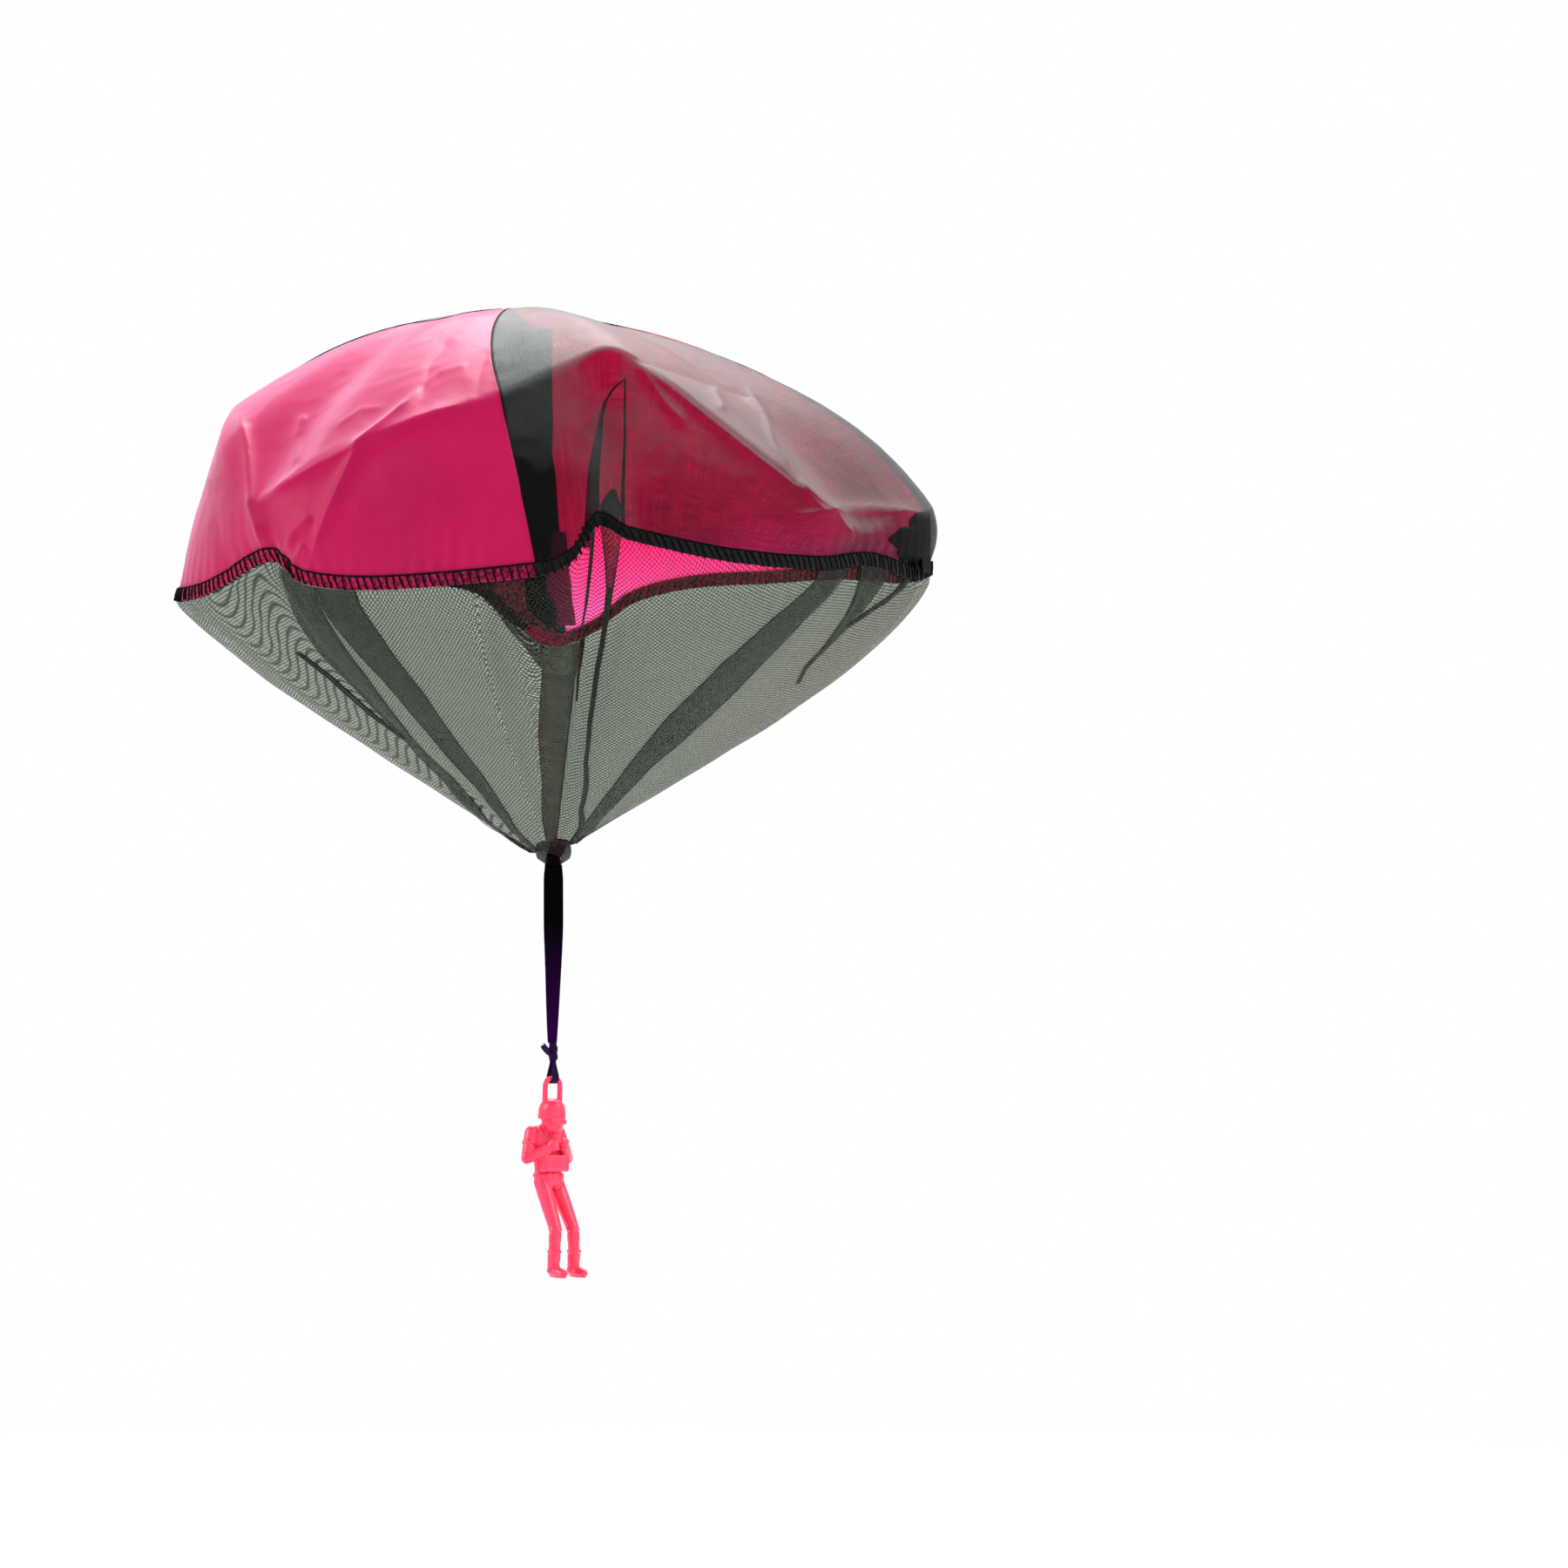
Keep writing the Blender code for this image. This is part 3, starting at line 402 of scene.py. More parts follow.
# %% Quarters of the cloth
seam_angles = {"near": -3.0, "right": 97.0, "far": 178.0, "left": 263.0}
seam_cross_shares = (-0.010, -0.140)
seam_bow_shares = {"near": -0.077, "far": -0.020, "far_top": 0.055, "sides": 0.060}
quarters = {
    "near_right": ("near", "right", False),
    "far_right": ("right", "far", True),
    "far_left": ("far", "left", False),
    "near_left": ("left", "near", True),
}


def seam_span(quarter):
    """First and last hem angle of a quarter, the last one larger."""
    first, last, _ = quarters[quarter]
    start, end = seam_angles[first], seam_angles[last]
    return start, end + 360.0 * (end < start)


def disc_places(quarter, across, along):
    """Where points of a square panel lie in the disc. (0, 0) is the cross of the seams."""
    start, end = seam_span(quarter)
    reach = np.maximum(across, along)
    safe = np.where(reach == 0, 1, reach)
    share = np.where(across >= along, 0.5 * along / safe, 1 - 0.5 * across / safe)
    share = np.where(reach == 0, 0.5, share)
    turn = np.radians(start + (end - start) * share)
    slide = 1 - reach * reach
    bow = np.sin(math.pi * reach)
    nearness = (1 + np.cos(turn)) / 2
    on_top = np.sin(math.pi * np.minimum(reach / shoulder_share, 1))
    aside = seam_bow_shares["near"] * nearness * bow
    aside += (seam_bow_shares["far"] * bow + seam_bow_shares["far_top"] * on_top) * (1 - nearness)
    return np.stack([
        reach * np.sin(turn) + seam_cross_shares[0] * slide + aside,
        -reach * np.cos(turn) + seam_cross_shares[1] * slide + seam_bow_shares["sides"] * bow,
    ], axis=1)


# %% [markdown]
# Thin nylon holds sharp creases. Their places were read off the photograph, so each crease is a line
# in the picture's own plane, in metres from the hang line and the crown. A crease lifts the cloth in
# a narrow ridge, or sinks it where its height is negative. Small random waves and the puckers of the
# stitched edge are added to it. The same function moves the hem and the top of the net, so nothing
# parts where they meet.

# %% Creases, waves and puckers
# Height, width, then the line's points
creases = {
    "left_peak": (0.0026, 0.0040, ((-0.160, -0.050), (-0.155, -0.070), (-0.152, -0.100), (-0.144, -0.128))),
    "left_ridge": (0.0022, 0.0042, ((-0.151, -0.099), (-0.118, -0.078), (-0.098, -0.068), (-0.070, -0.056),
                                    (-0.042, -0.046))),
    "long_crease": (0.0020, 0.0030, ((-0.066, -0.036), (-0.074, -0.047), (-0.086, -0.058), (-0.098, -0.068),
                                     (-0.106, -0.084), (-0.113, -0.100), (-0.124, -0.131))),
    "top_valley_one": (-0.0006, 0.0040, ((-0.052, -0.012), (-0.063, -0.026), (-0.068, -0.046))),
    "top_valley_two": (-0.0003, 0.0035, ((-0.033, -0.018), (-0.038, -0.030), (-0.040, -0.046))),
    "top_crease_three": (0.0012, 0.0030, ((-0.126, -0.052), (-0.130, -0.064), (-0.129, -0.080))),
    "small_one": (0.0003, 0.0022, ((-0.060, -0.031), (-0.044, -0.027))),
    "small_two": (0.0005, 0.0022, ((-0.112, -0.060), (-0.098, -0.050), (-0.086, -0.049))),
    "foot_one": (0.0014, 0.0034, ((-0.138, -0.128), (-0.131, -0.112), (-0.122, -0.104))),
    "foot_two": (0.0012, 0.0030, ((-0.133, -0.133), (-0.126, -0.118))),
    "left_face": (-0.0010, 0.0090, ((-0.176, -0.085), (-0.170, -0.115), (-0.163, -0.140))),
    "right_ridge": (0.0013, 0.0036, ((0.033, -0.020), (0.062, -0.041), (0.098, -0.070), (0.125, -0.092),
                                     (0.150, -0.118))),
    "right_fan_one": (0.0011, 0.0034, ((0.040, -0.024), (0.056, -0.046), (0.068, -0.058))),
    "right_fan_two": (-0.0010, 0.0034, ((0.036, -0.022), (0.070, -0.032), (0.108, -0.046))),
    "right_crease": (0.0016, 0.0026, ((0.096, -0.036), (0.106, -0.052), (0.112, -0.070), (0.121, -0.083))),
    "right_small": (0.0010, 0.0024, ((0.081, -0.036), (0.086, -0.050))),
    "right_corner": (0.0022, 0.0042, ((0.120, -0.085), (0.139, -0.102), (0.153, -0.116))),
    "right_end": (0.0018, 0.0034, ((0.118, -0.103), (0.160, -0.100), (0.190, -0.102))),
}
near_fade = 0.030
crease_height_share = 1.5
crease_width_share = 0.9
wave_height = 0.0007
wave_length = 0.045
crumple_height = 0.00016
crumple_length = 0.014
pucker_height = 0.0004
pucker_reach = 0.013
puckers_a_turn = 118


def as_seen(points):
    """Points moved along the camera's rays onto the picture's plane, as x and z."""
    nearer = camera_distance / (camera_distance + points[:, 1])
    return np.stack(
        [points[:, 0] * nearer, camera_height + (points[:, 2] - camera_height) * nearer], axis=1
    )


def from_line(places, line):
    """How far places lie from a line of points, and how far along it, from 0 to 1."""
    line = np.array(line, float)
    lengths = np.linalg.norm(np.diff(line, axis=0), axis=1)
    starts = summed(lengths)
    best = np.full(len(places), np.inf)
    along = np.zeros(len(places))
    for i, length in enumerate(lengths):
        step = (line[i + 1] - line[i]) / length
        share = np.clip((places - line[i]) @ step, 0, length)
        gap = np.linalg.norm(places - line[i] - share[:, None] * step, axis=1)
        closer = gap < best
        best = np.where(closer, gap, best)
        along = np.where(closer, (starts[i] + share) / starts[-1], along)
    return best, along


def noise_at(points, length, seed):
    """Smooth random values between about -1 and 1 that change over this length."""
    shift = Vector((seed, seed * 2, seed * 3))
    return np.array([noise.noise(Vector(p) / length + shift) for p in points])


def lift(points):
    """How far the creases and waves move the cloth outwards at these points."""
    places = as_seen(points)
    total = np.zeros(len(points))
    near = np.clip(-points[:, 1] / near_fade, 0, 1)
    for height, width, line in creases.values():
        gap, along = from_line(places, line)
        taper = np.clip(np.sin(math.pi * np.clip(along, 0.02, 0.98)) * 2.2, 0, 1)
        sharp = np.exp(-np.sqrt((gap / (width * crease_width_share)) ** 2 + 0.01))
        total += height * crease_height_share * sharp * taper * near
    total += wave_height * noise_at(points, wave_length, 3.0)
    total += crumple_height * (0.5 - np.abs(noise_at(points, crumple_length, 7.0)) * 2)
    angles = np.degrees(np.arctan2(points[:, 0], -points[:, 1]))
    above = np.linalg.norm(points - lower_edge(angles, hem_width), axis=1)
    loose = 0.6 + 0.8 * noise_at(outward(angles), 0.35, 11.0)
    puckers = np.sin(np.radians(angles) * puckers_a_turn) * np.exp(-above / pucker_reach)
    return total + pucker_height * loose * puckers


def edge_shift(angles):
    """How far the finished cloth's lower edge lies from its plain line, as vectors."""
    return outward(angles) * lift(lower_edge(angles, hem_width + seam_gap))[:, None]


# %% [markdown]
# The panels are grids of points. Each gets a thin wall, so that it is a closed sheet like the CAD
# solid, and a UV map in metres along its own threads, which the weave of the material follows.

# %% Sheets from grids
near_panel_cells = 200
far_panel_cells = 110
cloth_wall = 0.0003


def thicken(thing, wall, offset):
    """Gives a sheet its wall and turns the result into a plain mesh."""
    solidify = thing.modifiers.new("wall", "SOLIDIFY")
    solidify.thickness = wall
    solidify.offset = offset
    make_plain(thing)


def make_plain(thing):
    """Replaces an object's mesh by what its modifiers make of it, and removes them."""
    bpy.context.view_layer.update()
    done = bpy.data.meshes.new_from_object(
        thing.evaluated_get(bpy.context.evaluated_depsgraph_get()), preserve_all_data_layers=True,
        depsgraph=bpy.context.evaluated_depsgraph_get(),
    )
    thing.modifiers.clear()
    thing.data = done


def link(name, mesh, material):
    """A new object with one material in the scene."""
    thing = bpy.data.objects.new(name, mesh)
    mesh.materials.append(material)
    scene.collection.objects.link(thing)
    return thing


def grid_sheet(name, grid, uv, wall, offset, material):
    """A closed sheet on a grid of points whose rows run down and whose columns run to the right."""
    rows, columns = grid.shape[:2]
    index = np.arange(rows * columns).reshape(rows, columns)
    faces = np.stack([index[:-1, :-1], index[1:, :-1], index[1:, 1:], index[:-1, 1:]], axis=2)
    mesh = bpy.data.meshes.new(name)
    mesh.from_pydata(grid.reshape(-1, 3).tolist(), [], faces.reshape(-1, 4).tolist())
    layer = mesh.uv_layers.new(name="threads")
    corners = uv.reshape(-1, 2)[faces.reshape(-1)]
    layer.data.foreach_set("uv", corners.astype(np.float32).ravel())
    thing = link(name, mesh, material)
    thicken(thing, wall, offset)
    thing.data.shade_smooth()
    return thing


def grid_normals(grid):
    """Unit normals of a grid whose rows run down and columns to the right, on its inner side."""
    down = np.gradient(grid, axis=0)
    right = np.gradient(grid, axis=1)
    normals = np.cross(down, right)
    return normals / np.maximum(np.linalg.norm(normals, axis=2), 1e-12)[:, :, None]


def draw_in(grid):
    """Moves the side columns of a grid of points inwards by half a seam's gap."""
    for side, beside in ((0, 1), (-1, -2)):
        towards = grid[:, beside] - grid[:, side]
        grid[:, side] += unit(towards) * seam_gap / 2


# %% [markdown]
# The bright cloth is nylon taffeta: filament yarns in a plain weave, dyed through and lightly
# calendered. It has a soft wide gloss where light grazes it, and it lets some light through, which
# makes its inside glow. The real threads are 0.15 mm apart, too fine for the picture, so the weave is
# drawn at 0.9 mm and shows as a faint grain.

# %% Nylon materials
weave_pitch = 0.0009
weave_bump = 0.00004
weave_strength = 0.6
# Heights between which the light that comes through the cloth changes its colour, from the first glow colour
# to the second: where the two differ, this is painted light, paler towards the hem
painted_glow_heights = (-0.09, -0.14)
slub_width = 0.0011
slub_length = 0.028
slub_change = 0.050
# Painted sheen on the black nylon: a pale grey base colour on upward slopes stands in for the light from
# above
painted_sheen_colour = "#4A4E4D"
painted_sheen_cover = 0.08
painted_sheen_at_crest = 0.5
# Upward part of the normal, and depth in front of the hang line, over which the painted sheen grows: upward
# slopes, most towards the front, are painted pale grey
painted_sheen_slopes = (0.20, 0.45)
painted_sheen_depths = (-0.012, -0.075)


def weave_height(tree, pitch):
    """Height of a plain weave on the UV map: warp and weft threads that cross over each other."""
    place = thread_place(tree)
    turns = [maths(tree, "MULTIPLY", axis_of(tree, place, axis), math.tau / pitch) for axis in (0, 1)]
    return maths(tree, "MULTIPLY", *[maths(tree, "SINE", turn) for turn in turns])


def cloth_noise(tree, size, detail=3.0):
    """Noise on object coordinates whose spots are about this size."""
    settings = {"Vector": object_place(tree), "Scale": 1 / size, "Detail": detail}
    return add(tree, "ShaderNodeTexNoise", settings).outputs["Fac"]


def nylon_taffeta(name, dark, light, glow_share, glow_high, glow_low):
    """Dyed nylon taffeta: a saturated, slightly glossy cloth whose folds catch pale light."""
    material, tree, out = new_material(name)
    weave = relief(tree, weave_height(tree, weave_pitch), weave_bump, weave_strength)
    cloth = add(tree, "ShaderNodeBsdfPrincipled", {
        "Base Color": two_tone(tree, cloth_noise(tree, 0.05), dark, light, 0.3, 0.7),
        "Roughness": 0.34, "IOR": 1.55, "Normal": weave, "Specular IOR Level": 0.14,
        "Sheen Weight": 1.0, "Sheen Roughness": 0.38, "Sheen Tint": colour("#FFD4F6"),
    })
    # Painted light: the colour of the light through the cloth is graded by height, from glow_high above to
    # glow_low below
    down = map_range(tree, axis_of(tree, object_place(tree), 2), painted_glow_heights)
    lit = mixed(tree, down, glow_high, glow_low)
    glow = add(tree, "ShaderNodeBsdfTranslucent", {"Color": lit, "Normal": weave})
    both = add(tree, "ShaderNodeMixShader", {"Fac": glow_share, 1: cloth.outputs[0], 2: glow.outputs[0]})
    return dressed(material, tree, out, both)


def yarn_streaks(tree, size):
    """Noise on the threads' own map, drawn out along one of them, as uneven yarn shows."""
    scale = (1 / size[0], 1 / size[1], 1)
    drawn = add(tree, "ShaderNodeMapping", {"Vector": thread_place(tree), "Scale": scale}).outputs[0]
    return add(tree, "ShaderNodeTexNoise", {"Vector": drawn, "Scale": 1.0, "Detail": 2.0}).outputs["Fac"]


def sheer_nylon(name, least_cover, most_cover):
    """Thin black nylon: what is behind shows through it. Slopes that face up get a painted pale sheen in
    their colour, strongest towards the front, and a little more cover.
    """
    material, tree, out = new_material(name)
    weave = relief(tree, weave_height(tree, weave_pitch), weave_bump, weave_strength)
    closed = map_range(tree, cloth_noise(tree, 0.06, 2.0), (0.3, 0.7), (least_cover, most_cover))
    sizes = ((slub_width, slub_length), (slub_length, slub_width))
    yarns = maths(tree, "ADD", *[yarn_streaks(tree, size) for size in sizes])
    slubs = map_range(tree, yarns, (0.7, 1.3), (-slub_change, slub_change))
    cover = maths(tree, "ADD", closed, slubs, use_clamp=True)
    normal = add(tree, "ShaderNodeNewGeometry").outputs["Normal"]
    # Painted sheen: upward slopes, most towards the front, get a pale grey base colour and a little more
    # cover
    facing_up = map_range(tree, axis_of(tree, normal, 2), painted_sheen_slopes)
    to_front = map_range(tree, axis_of(tree, object_place(tree), 1), painted_sheen_depths, (painted_sheen_at_crest, 1.0))
    painted_sheen = maths(tree, "MULTIPLY", facing_up, to_front)
    more = maths(tree, "MULTIPLY", facing_up, painted_sheen_cover)
    cloth = add(tree, "ShaderNodeBsdfPrincipled", {
        "Base Color": mixed(tree, painted_sheen, "#080708", painted_sheen_colour),
        "Roughness": 0.46, "IOR": 1.5, "Normal": weave, "Specular IOR Level": 0.04,
        "Sheen Weight": 0.12, "Sheen Roughness": 0.45, "Sheen Tint": colour("#E6F0EC"),
        "Alpha": maths(tree, "ADD", cover, more, use_clamp=True),
    })
    return dressed(material, tree, out, cloth)


bright_cloth = nylon_taffeta("dyed_nylon_taffeta", "#BC0C57", "#CC1462", 0.48, "#E868AC", "#E868AC")
# The far right panel is the same pink taffeta as the near left one, given a stronger glow that grows paler
# towards the hem: painted light
painted_glow_cloth = nylon_taffeta("painted_glow_nylon_taffeta", "#C4106A", "#D21874", 0.90, "#FF4A98", "#FF98D0")
# The turned seam is the same taffeta painted darker and with less glow: painted shade
shaded_turned_cloth = nylon_taffeta("shaded_turned_nylon_seam", "#8A1064", "#A01878", 0.30, "#A02878", "#A02878")
sheer_cloth = sheer_nylon("sheer_black_nylon", 0.66, 0.75)
# The far left panel and the far seam's facings are the same black nylon with denser cover, so they read
# darker: painted shade
shaded_black_cloth = sheer_nylon("shaded_black_nylon", 0.86, 0.96)
panel_cloths = {"near_right": sheer_cloth, "far_right": painted_glow_cloth, "far_left": shaded_black_cloth,
                "near_left": bright_cloth}

# %% Canopy panels
edge_blend_start = 0.72


def panel_points(quarter, across, along):
    """Finished points of a panel for places on its square, as a grid, with its outer directions."""
    shape = across.shape
    disc = disc_places(quarter, across.ravel(), along.ravel())
    plain = canopy_points(disc).reshape(*shape, 3)
    reach = np.linalg.norm(disc, axis=1).reshape(shape)
    angles = np.degrees(np.arctan2(disc[:, 0], -disc[:, 1]))
    level = outward(angles).reshape(*shape, 3)
    to_edge = np.clip((reach - edge_blend_start) / (1 - edge_blend_start), 0, 1)[:, :, None]
    to_edge = to_edge * to_edge * (3 - 2 * to_edge)
    direction = level * to_edge - grid_normals(plain) * (1 - to_edge)
    return plain + unit(direction) * lift(plain.reshape(-1, 3)).reshape(shape)[:, :, None]


def thread_lengths(grid):
    """UV in metres along the rows and columns of a grid, from its first corner."""
    across = np.linalg.norm(np.diff(grid, axis=1), axis=2).mean(axis=0)
    along = np.linalg.norm(np.diff(grid, axis=0), axis=2).mean(axis=1)
    return np.stack(np.meshgrid(summed(across), summed(along)), axis=2)


def print_area(sheet):
    """Prints the cloth that a sheet takes and how many triangles draw it."""
    one_side = sum(p.area for p in sheet.data.polygons) / 2
    print(f"{sheet.name}: {one_side * 1e4:.0f} cm2, {len(sheet.data.polygons) * 2} triangles")


panels = {}
for quarter, (_, _, bright) in quarters.items():
    cells = near_panel_cells if quarter.startswith("near") else far_panel_cells
    shares = np.linspace(0, 1, cells + 1)
    across, along = np.meshgrid(shares, shares)
    grid = panel_points(quarter, across, along)
    uv = thread_lengths(grid)
    draw_in(grid)
    draw_in(grid.transpose(1, 0, 2))
    panel = grid_sheet(f"cloth_{quarter}", grid, uv, cloth_wall, 1.0, panel_cloths[quarter])
    panels[quarter] = panel
    print_area(panel)
    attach(panel, "canopy")
    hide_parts(f"panel_{quarter}")

# %% [markdown]
# The edge is overlocked: the cloth and the net are folded together and a machine winds black thread
# round the raw edge. Under the thread the bright cloth looks maroon. The band is a padded strip,
# and the threads lie on it as real loops. One small tree of Geometry Nodes sets a loop every few
# millimetres along the band's middle line, turned by two directions that each point carries.

# %% Overlocked hem
hem_wall = 0.0012
hem_rows = 7
hem_columns = 181
stitch_pitch = 0.0040
stitch_slant = 0.0026
stitch_thread = 0.00044
stitch_rise = 0.00095
edge_thread = 0.00050


def fuzzy_edge(name, base, dark):
    """Cut cloth edge under overlock thread: matt, darker than the cloth, with fine thread lines."""
    material, tree, out = new_material(name)
    spots = cloth_noise(tree, 0.0016, 4.0)
    cloth = add(tree, "ShaderNodeBsdfPrincipled", {
        "Base Color": two_tone(tree, spots, dark, base, 0.40, 0.58),
        "Roughness": 0.8, "Normal": relief(tree, spots, 0.0003, 0.7),
        "Specular IOR Level": 0.12, "Sheen Weight": 0.08, "Sheen Roughness": 0.5,
    })
    return dressed(material, tree, out, cloth)


def spun_thread(name, base):
    """Textured polyester thread: soft, matt and slightly hairy, so it shows no gloss line."""
    material, tree, out = new_material(name)
    cloth = add(tree, "ShaderNodeBsdfPrincipled", {
        "Base Color": colour(base), "Roughness": 0.75,
        "Normal": relief(tree, cloth_noise(tree, 0.0006, 2.0), 0.0001, 0.5),
        "Specular IOR Level": 0.04, "Sheen Weight": 0.02, "Sheen Roughness": 0.5,
    })
    return dressed(material, tree, out, cloth)


# Under the thread the pink edge is drawn maroon: partly the black thread's own colour mixed in, partly
# painted shade under the threads
maroon_edge = fuzzy_edge("overlocked_taffeta_edge", "#B0104C", "#4C0420")
dark_edge = fuzzy_edge("overlocked_black_edge", "#171415", "#050505")
black_thread = spun_thread("black_overlock_thread", "#060406")


def quarter_angles(quarter, count):
    """Even angles along a quarter's hem."""
    return np.linspace(*seam_span(quarter), count)


def hem_frame(angles, height):
    """Points of the finished hem this far above its lower edge."""
    return lower_edge(angles, height) + edge_shift(angles)


def skin_rings(shape, rings, closed=False):
    """A skin over rings of vertices, with a face at each end or closed on itself."""
    for one, two in zip(rings, rings[1:] + rings[:1] if closed else rings[1:]):
        for i in range(len(one)):
            after = (i + 1) % len(one)
            shape.faces.new((one[i], one[after], two[after], two[i]))
    if not closed:
        shape.faces.new(list(reversed(rings[0])))
        shape.faces.new(rings[-1])


def stitch_mesh(width, slant, rise):
    """One loop of thread round a band: X runs along the band, Y up, Z out of it."""
    corners = (
        (-slant / 2, width / 2, -rise), (-slant / 2, width / 2, rise), (0, 0, rise * 1.25),
        (slant / 2, -width / 2, rise), (slant / 2, -width / 2, -rise), (0, 0, -rise * 1.25),
    )
    points = [Vector(c) for c in corners]
    shape = bmesh.new()
    rings = []
    for i, point in enumerate(points):
        along = (points[(i + 1) % len(points)] - points[i - 1]).normalized()
        side = along.cross(Vector((1, 0, 0.2))).normalized()
        front = along.cross(side)
        rings.append([
            shape.verts.new(point + (side * math.cos(t) + front * math.sin(t)) * stitch_thread)
            for t in (0, math.pi / 2, math.pi, 1.5 * math.pi)
        ])
    skin_rings(shape, rings, closed=True)
    bmesh.ops.recalc_face_normals(shape, faces=shape.faces)
    mesh = bpy.data.meshes.new("stitch")
    shape.to_mesh(mesh)
    shape.free()
    return mesh


def stitch_tree():
    """Sets a copy of an object at even steps along an edge line, turned by two stored directions."""
    tree = bpy.data.node_groups.new("stitches_along_a_line", "GeometryNodeTree")
    face = tree.interface
    for label, kind in (("Geometry", "Geometry"), ("Pitch", "Float"), ("Stitch", "Object"),
                        ("Thread", "Material"), ("Unevenness", "Float")):
        face.new_socket(label, in_out="INPUT", socket_type=f"NodeSocket{kind}")
    face.new_socket("Geometry", in_out="OUTPUT", socket_type="NodeSocketGeometry")
    start = add(tree, "NodeGroupInput")
    curve = add(tree, "GeometryNodeMeshToCurve", {0: start.outputs["Geometry"]})
    even = add(tree, "GeometryNodeResampleCurve", {
        "Curve": curve.outputs[0], "Length": start.outputs["Pitch"],
    }, mode="LENGTH")
    up = add(tree, "GeometryNodeInputNamedAttribute", {"Name": "up"}, data_type="FLOAT_VECTOR")
    out = add(tree, "GeometryNodeInputNamedAttribute", {"Name": "out"}, data_type="FLOAT_VECTOR")
    turn = add(tree, "FunctionNodeAxesToRotation", {0: out.outputs[0], 1: up.outputs[0]},
               primary_axis="Z", secondary_axis="Y")
    uneven = add(tree, "FunctionNodeRandomValue", {"Seed": 5}, data_type="FLOAT")
    tree.links.new(maths(tree, "SUBTRACT", 0.0, start.outputs["Unevenness"]), uneven.inputs[2])
    tree.links.new(start.outputs["Unevenness"], uneven.inputs[3])
    spin = add(tree, "FunctionNodeAxisAngleToRotation", {0: (0, 0, 1), 1: uneven.outputs[1]})
    both = add(tree, "FunctionNodeRotateRotation", {0: turn.outputs[0], 1: spin.outputs[0]},
               rotation_space="LOCAL")
    stitch = add(tree, "GeometryNodeObjectInfo", {0: start.outputs["Stitch"]})
    copies = add(tree, "GeometryNodeInstanceOnPoints", {
        "Points": even.outputs[0], "Instance": stitch.outputs["Geometry"], "Rotation": both.outputs[0],
    })
    real = add(tree, "GeometryNodeRealizeInstances", {0: copies.outputs[0]})
    painted = add(tree, "GeometryNodeSetMaterial", {0: real.outputs[0], "Material": start.outputs["Thread"]})
    end = add(tree, "NodeGroupOutput")
    tree.links.new(painted.outputs[0], end.inputs[0])
    return tree


stitches_along = stitch_tree()


def socket_id(tree, name):
    """The identifier of a tree's input, by which a modifier sets it."""
    return next(s.identifier for s in tree.interface.items_tree if s.name == name and s.in_out == "INPUT")


def stitch_line(name, points, up, out, stitch, pitch, thread, unevenness=0.12):
    """Stitches along a line of points, as one plain mesh."""
    mesh = bpy.data.meshes.new(name)
    mesh.from_pydata(points.tolist(), [(i, i + 1) for i in range(len(points) - 1)], [])
    for label, vectors in (("up", up), ("out", out)):
        store = mesh.attributes.new(label, "FLOAT_VECTOR", "POINT")
        store.data.foreach_set("vector", vectors.astype(np.float32).ravel())
    thing = bpy.data.objects.new(name, mesh)
    scene.collection.objects.link(thing)
    model = bpy.data.objects.new("stitch_model", stitch)
    scene.collection.objects.link(model)
    nodes = thing.modifiers.new("stitches", "NODES")
    nodes.node_group = stitches_along
    for label, value in (("Pitch", pitch), ("Stitch", model), ("Thread", thread), ("Unevenness", unevenness)):
        nodes[socket_id(stitches_along, label)] = value
    make_plain(thing)
    bpy.data.objects.remove(model)
    thing.data.shade_smooth()
    return thing


def thread_tube(name, points, radius, sides, material):
    """A thread along points, with closed ends."""
    curve = bpy.data.curves.new(name, "CURVE")
    curve.dimensions = "3D"
    curve.bevel_depth = radius
    curve.bevel_resolution = max(sides // 2 - 2, 0)
    curve.use_fill_caps = True
    spline = curve.splines.new("POLY")
    spline.points.add(len(points) - 1)
    for place, point in zip(spline.points, points):
        place.co = (*point, 1)
    source = bpy.data.objects.new(name, curve)
    scene.collection.objects.link(source)
    bpy.context.view_layer.update()
    mesh = bpy.data.meshes.new_from_object(source.evaluated_get(bpy.context.evaluated_depsgraph_get()))
    bpy.data.objects.remove(source)
    mesh.materials.clear()
    mesh.shade_smooth()
    return link(name, mesh, material)


loop = stitch_mesh(hem_width, stitch_slant, stitch_rise)
hem_pieces = {}
for quarter, (_, _, bright) in quarters.items():
    angles = quarter_angles(quarter, hem_columns)
    heights = np.linspace(hem_width, 0, hem_rows)
    grid = np.stack([hem_frame(angles, h) for h in heights])
    ripple = 0.0003 * noise_at(grid.reshape(-1, 3), 0.004, 19.0).reshape(hem_rows, hem_columns)
    grid += outward(angles)[None] * ripple[:, :, None]
    uv = thread_lengths(grid)
    draw_in(grid)
    band = grid_sheet(f"edge_{quarter}", grid, uv, hem_wall, 0.0, maroon_edge if bright else dark_edge)
    middle = hem_frame(angles, hem_width / 2)
    up = unit(hem_frame(angles, hem_width) - hem_frame(angles, 0))
    out = unit(np.cross(np.gradient(middle, axis=0), up))
    loops = stitch_line(f"overlock_{quarter}", middle, up, out, loop, stitch_pitch, black_thread)
    needle_line = hem_frame(angles, hem_width) + out * edge_thread
    needle = thread_tube(f"needle_thread_{quarter}", needle_line, edge_thread, 6, black_thread)
    hem_pieces[quarter] = [band, loops, needle]
    for piece in hem_pieces[quarter]:
        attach(piece, "canopy")
        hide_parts(f"hem_{quarter}")
    print(f"{band.name}: {len(loops.data.polygons)} faces of thread")

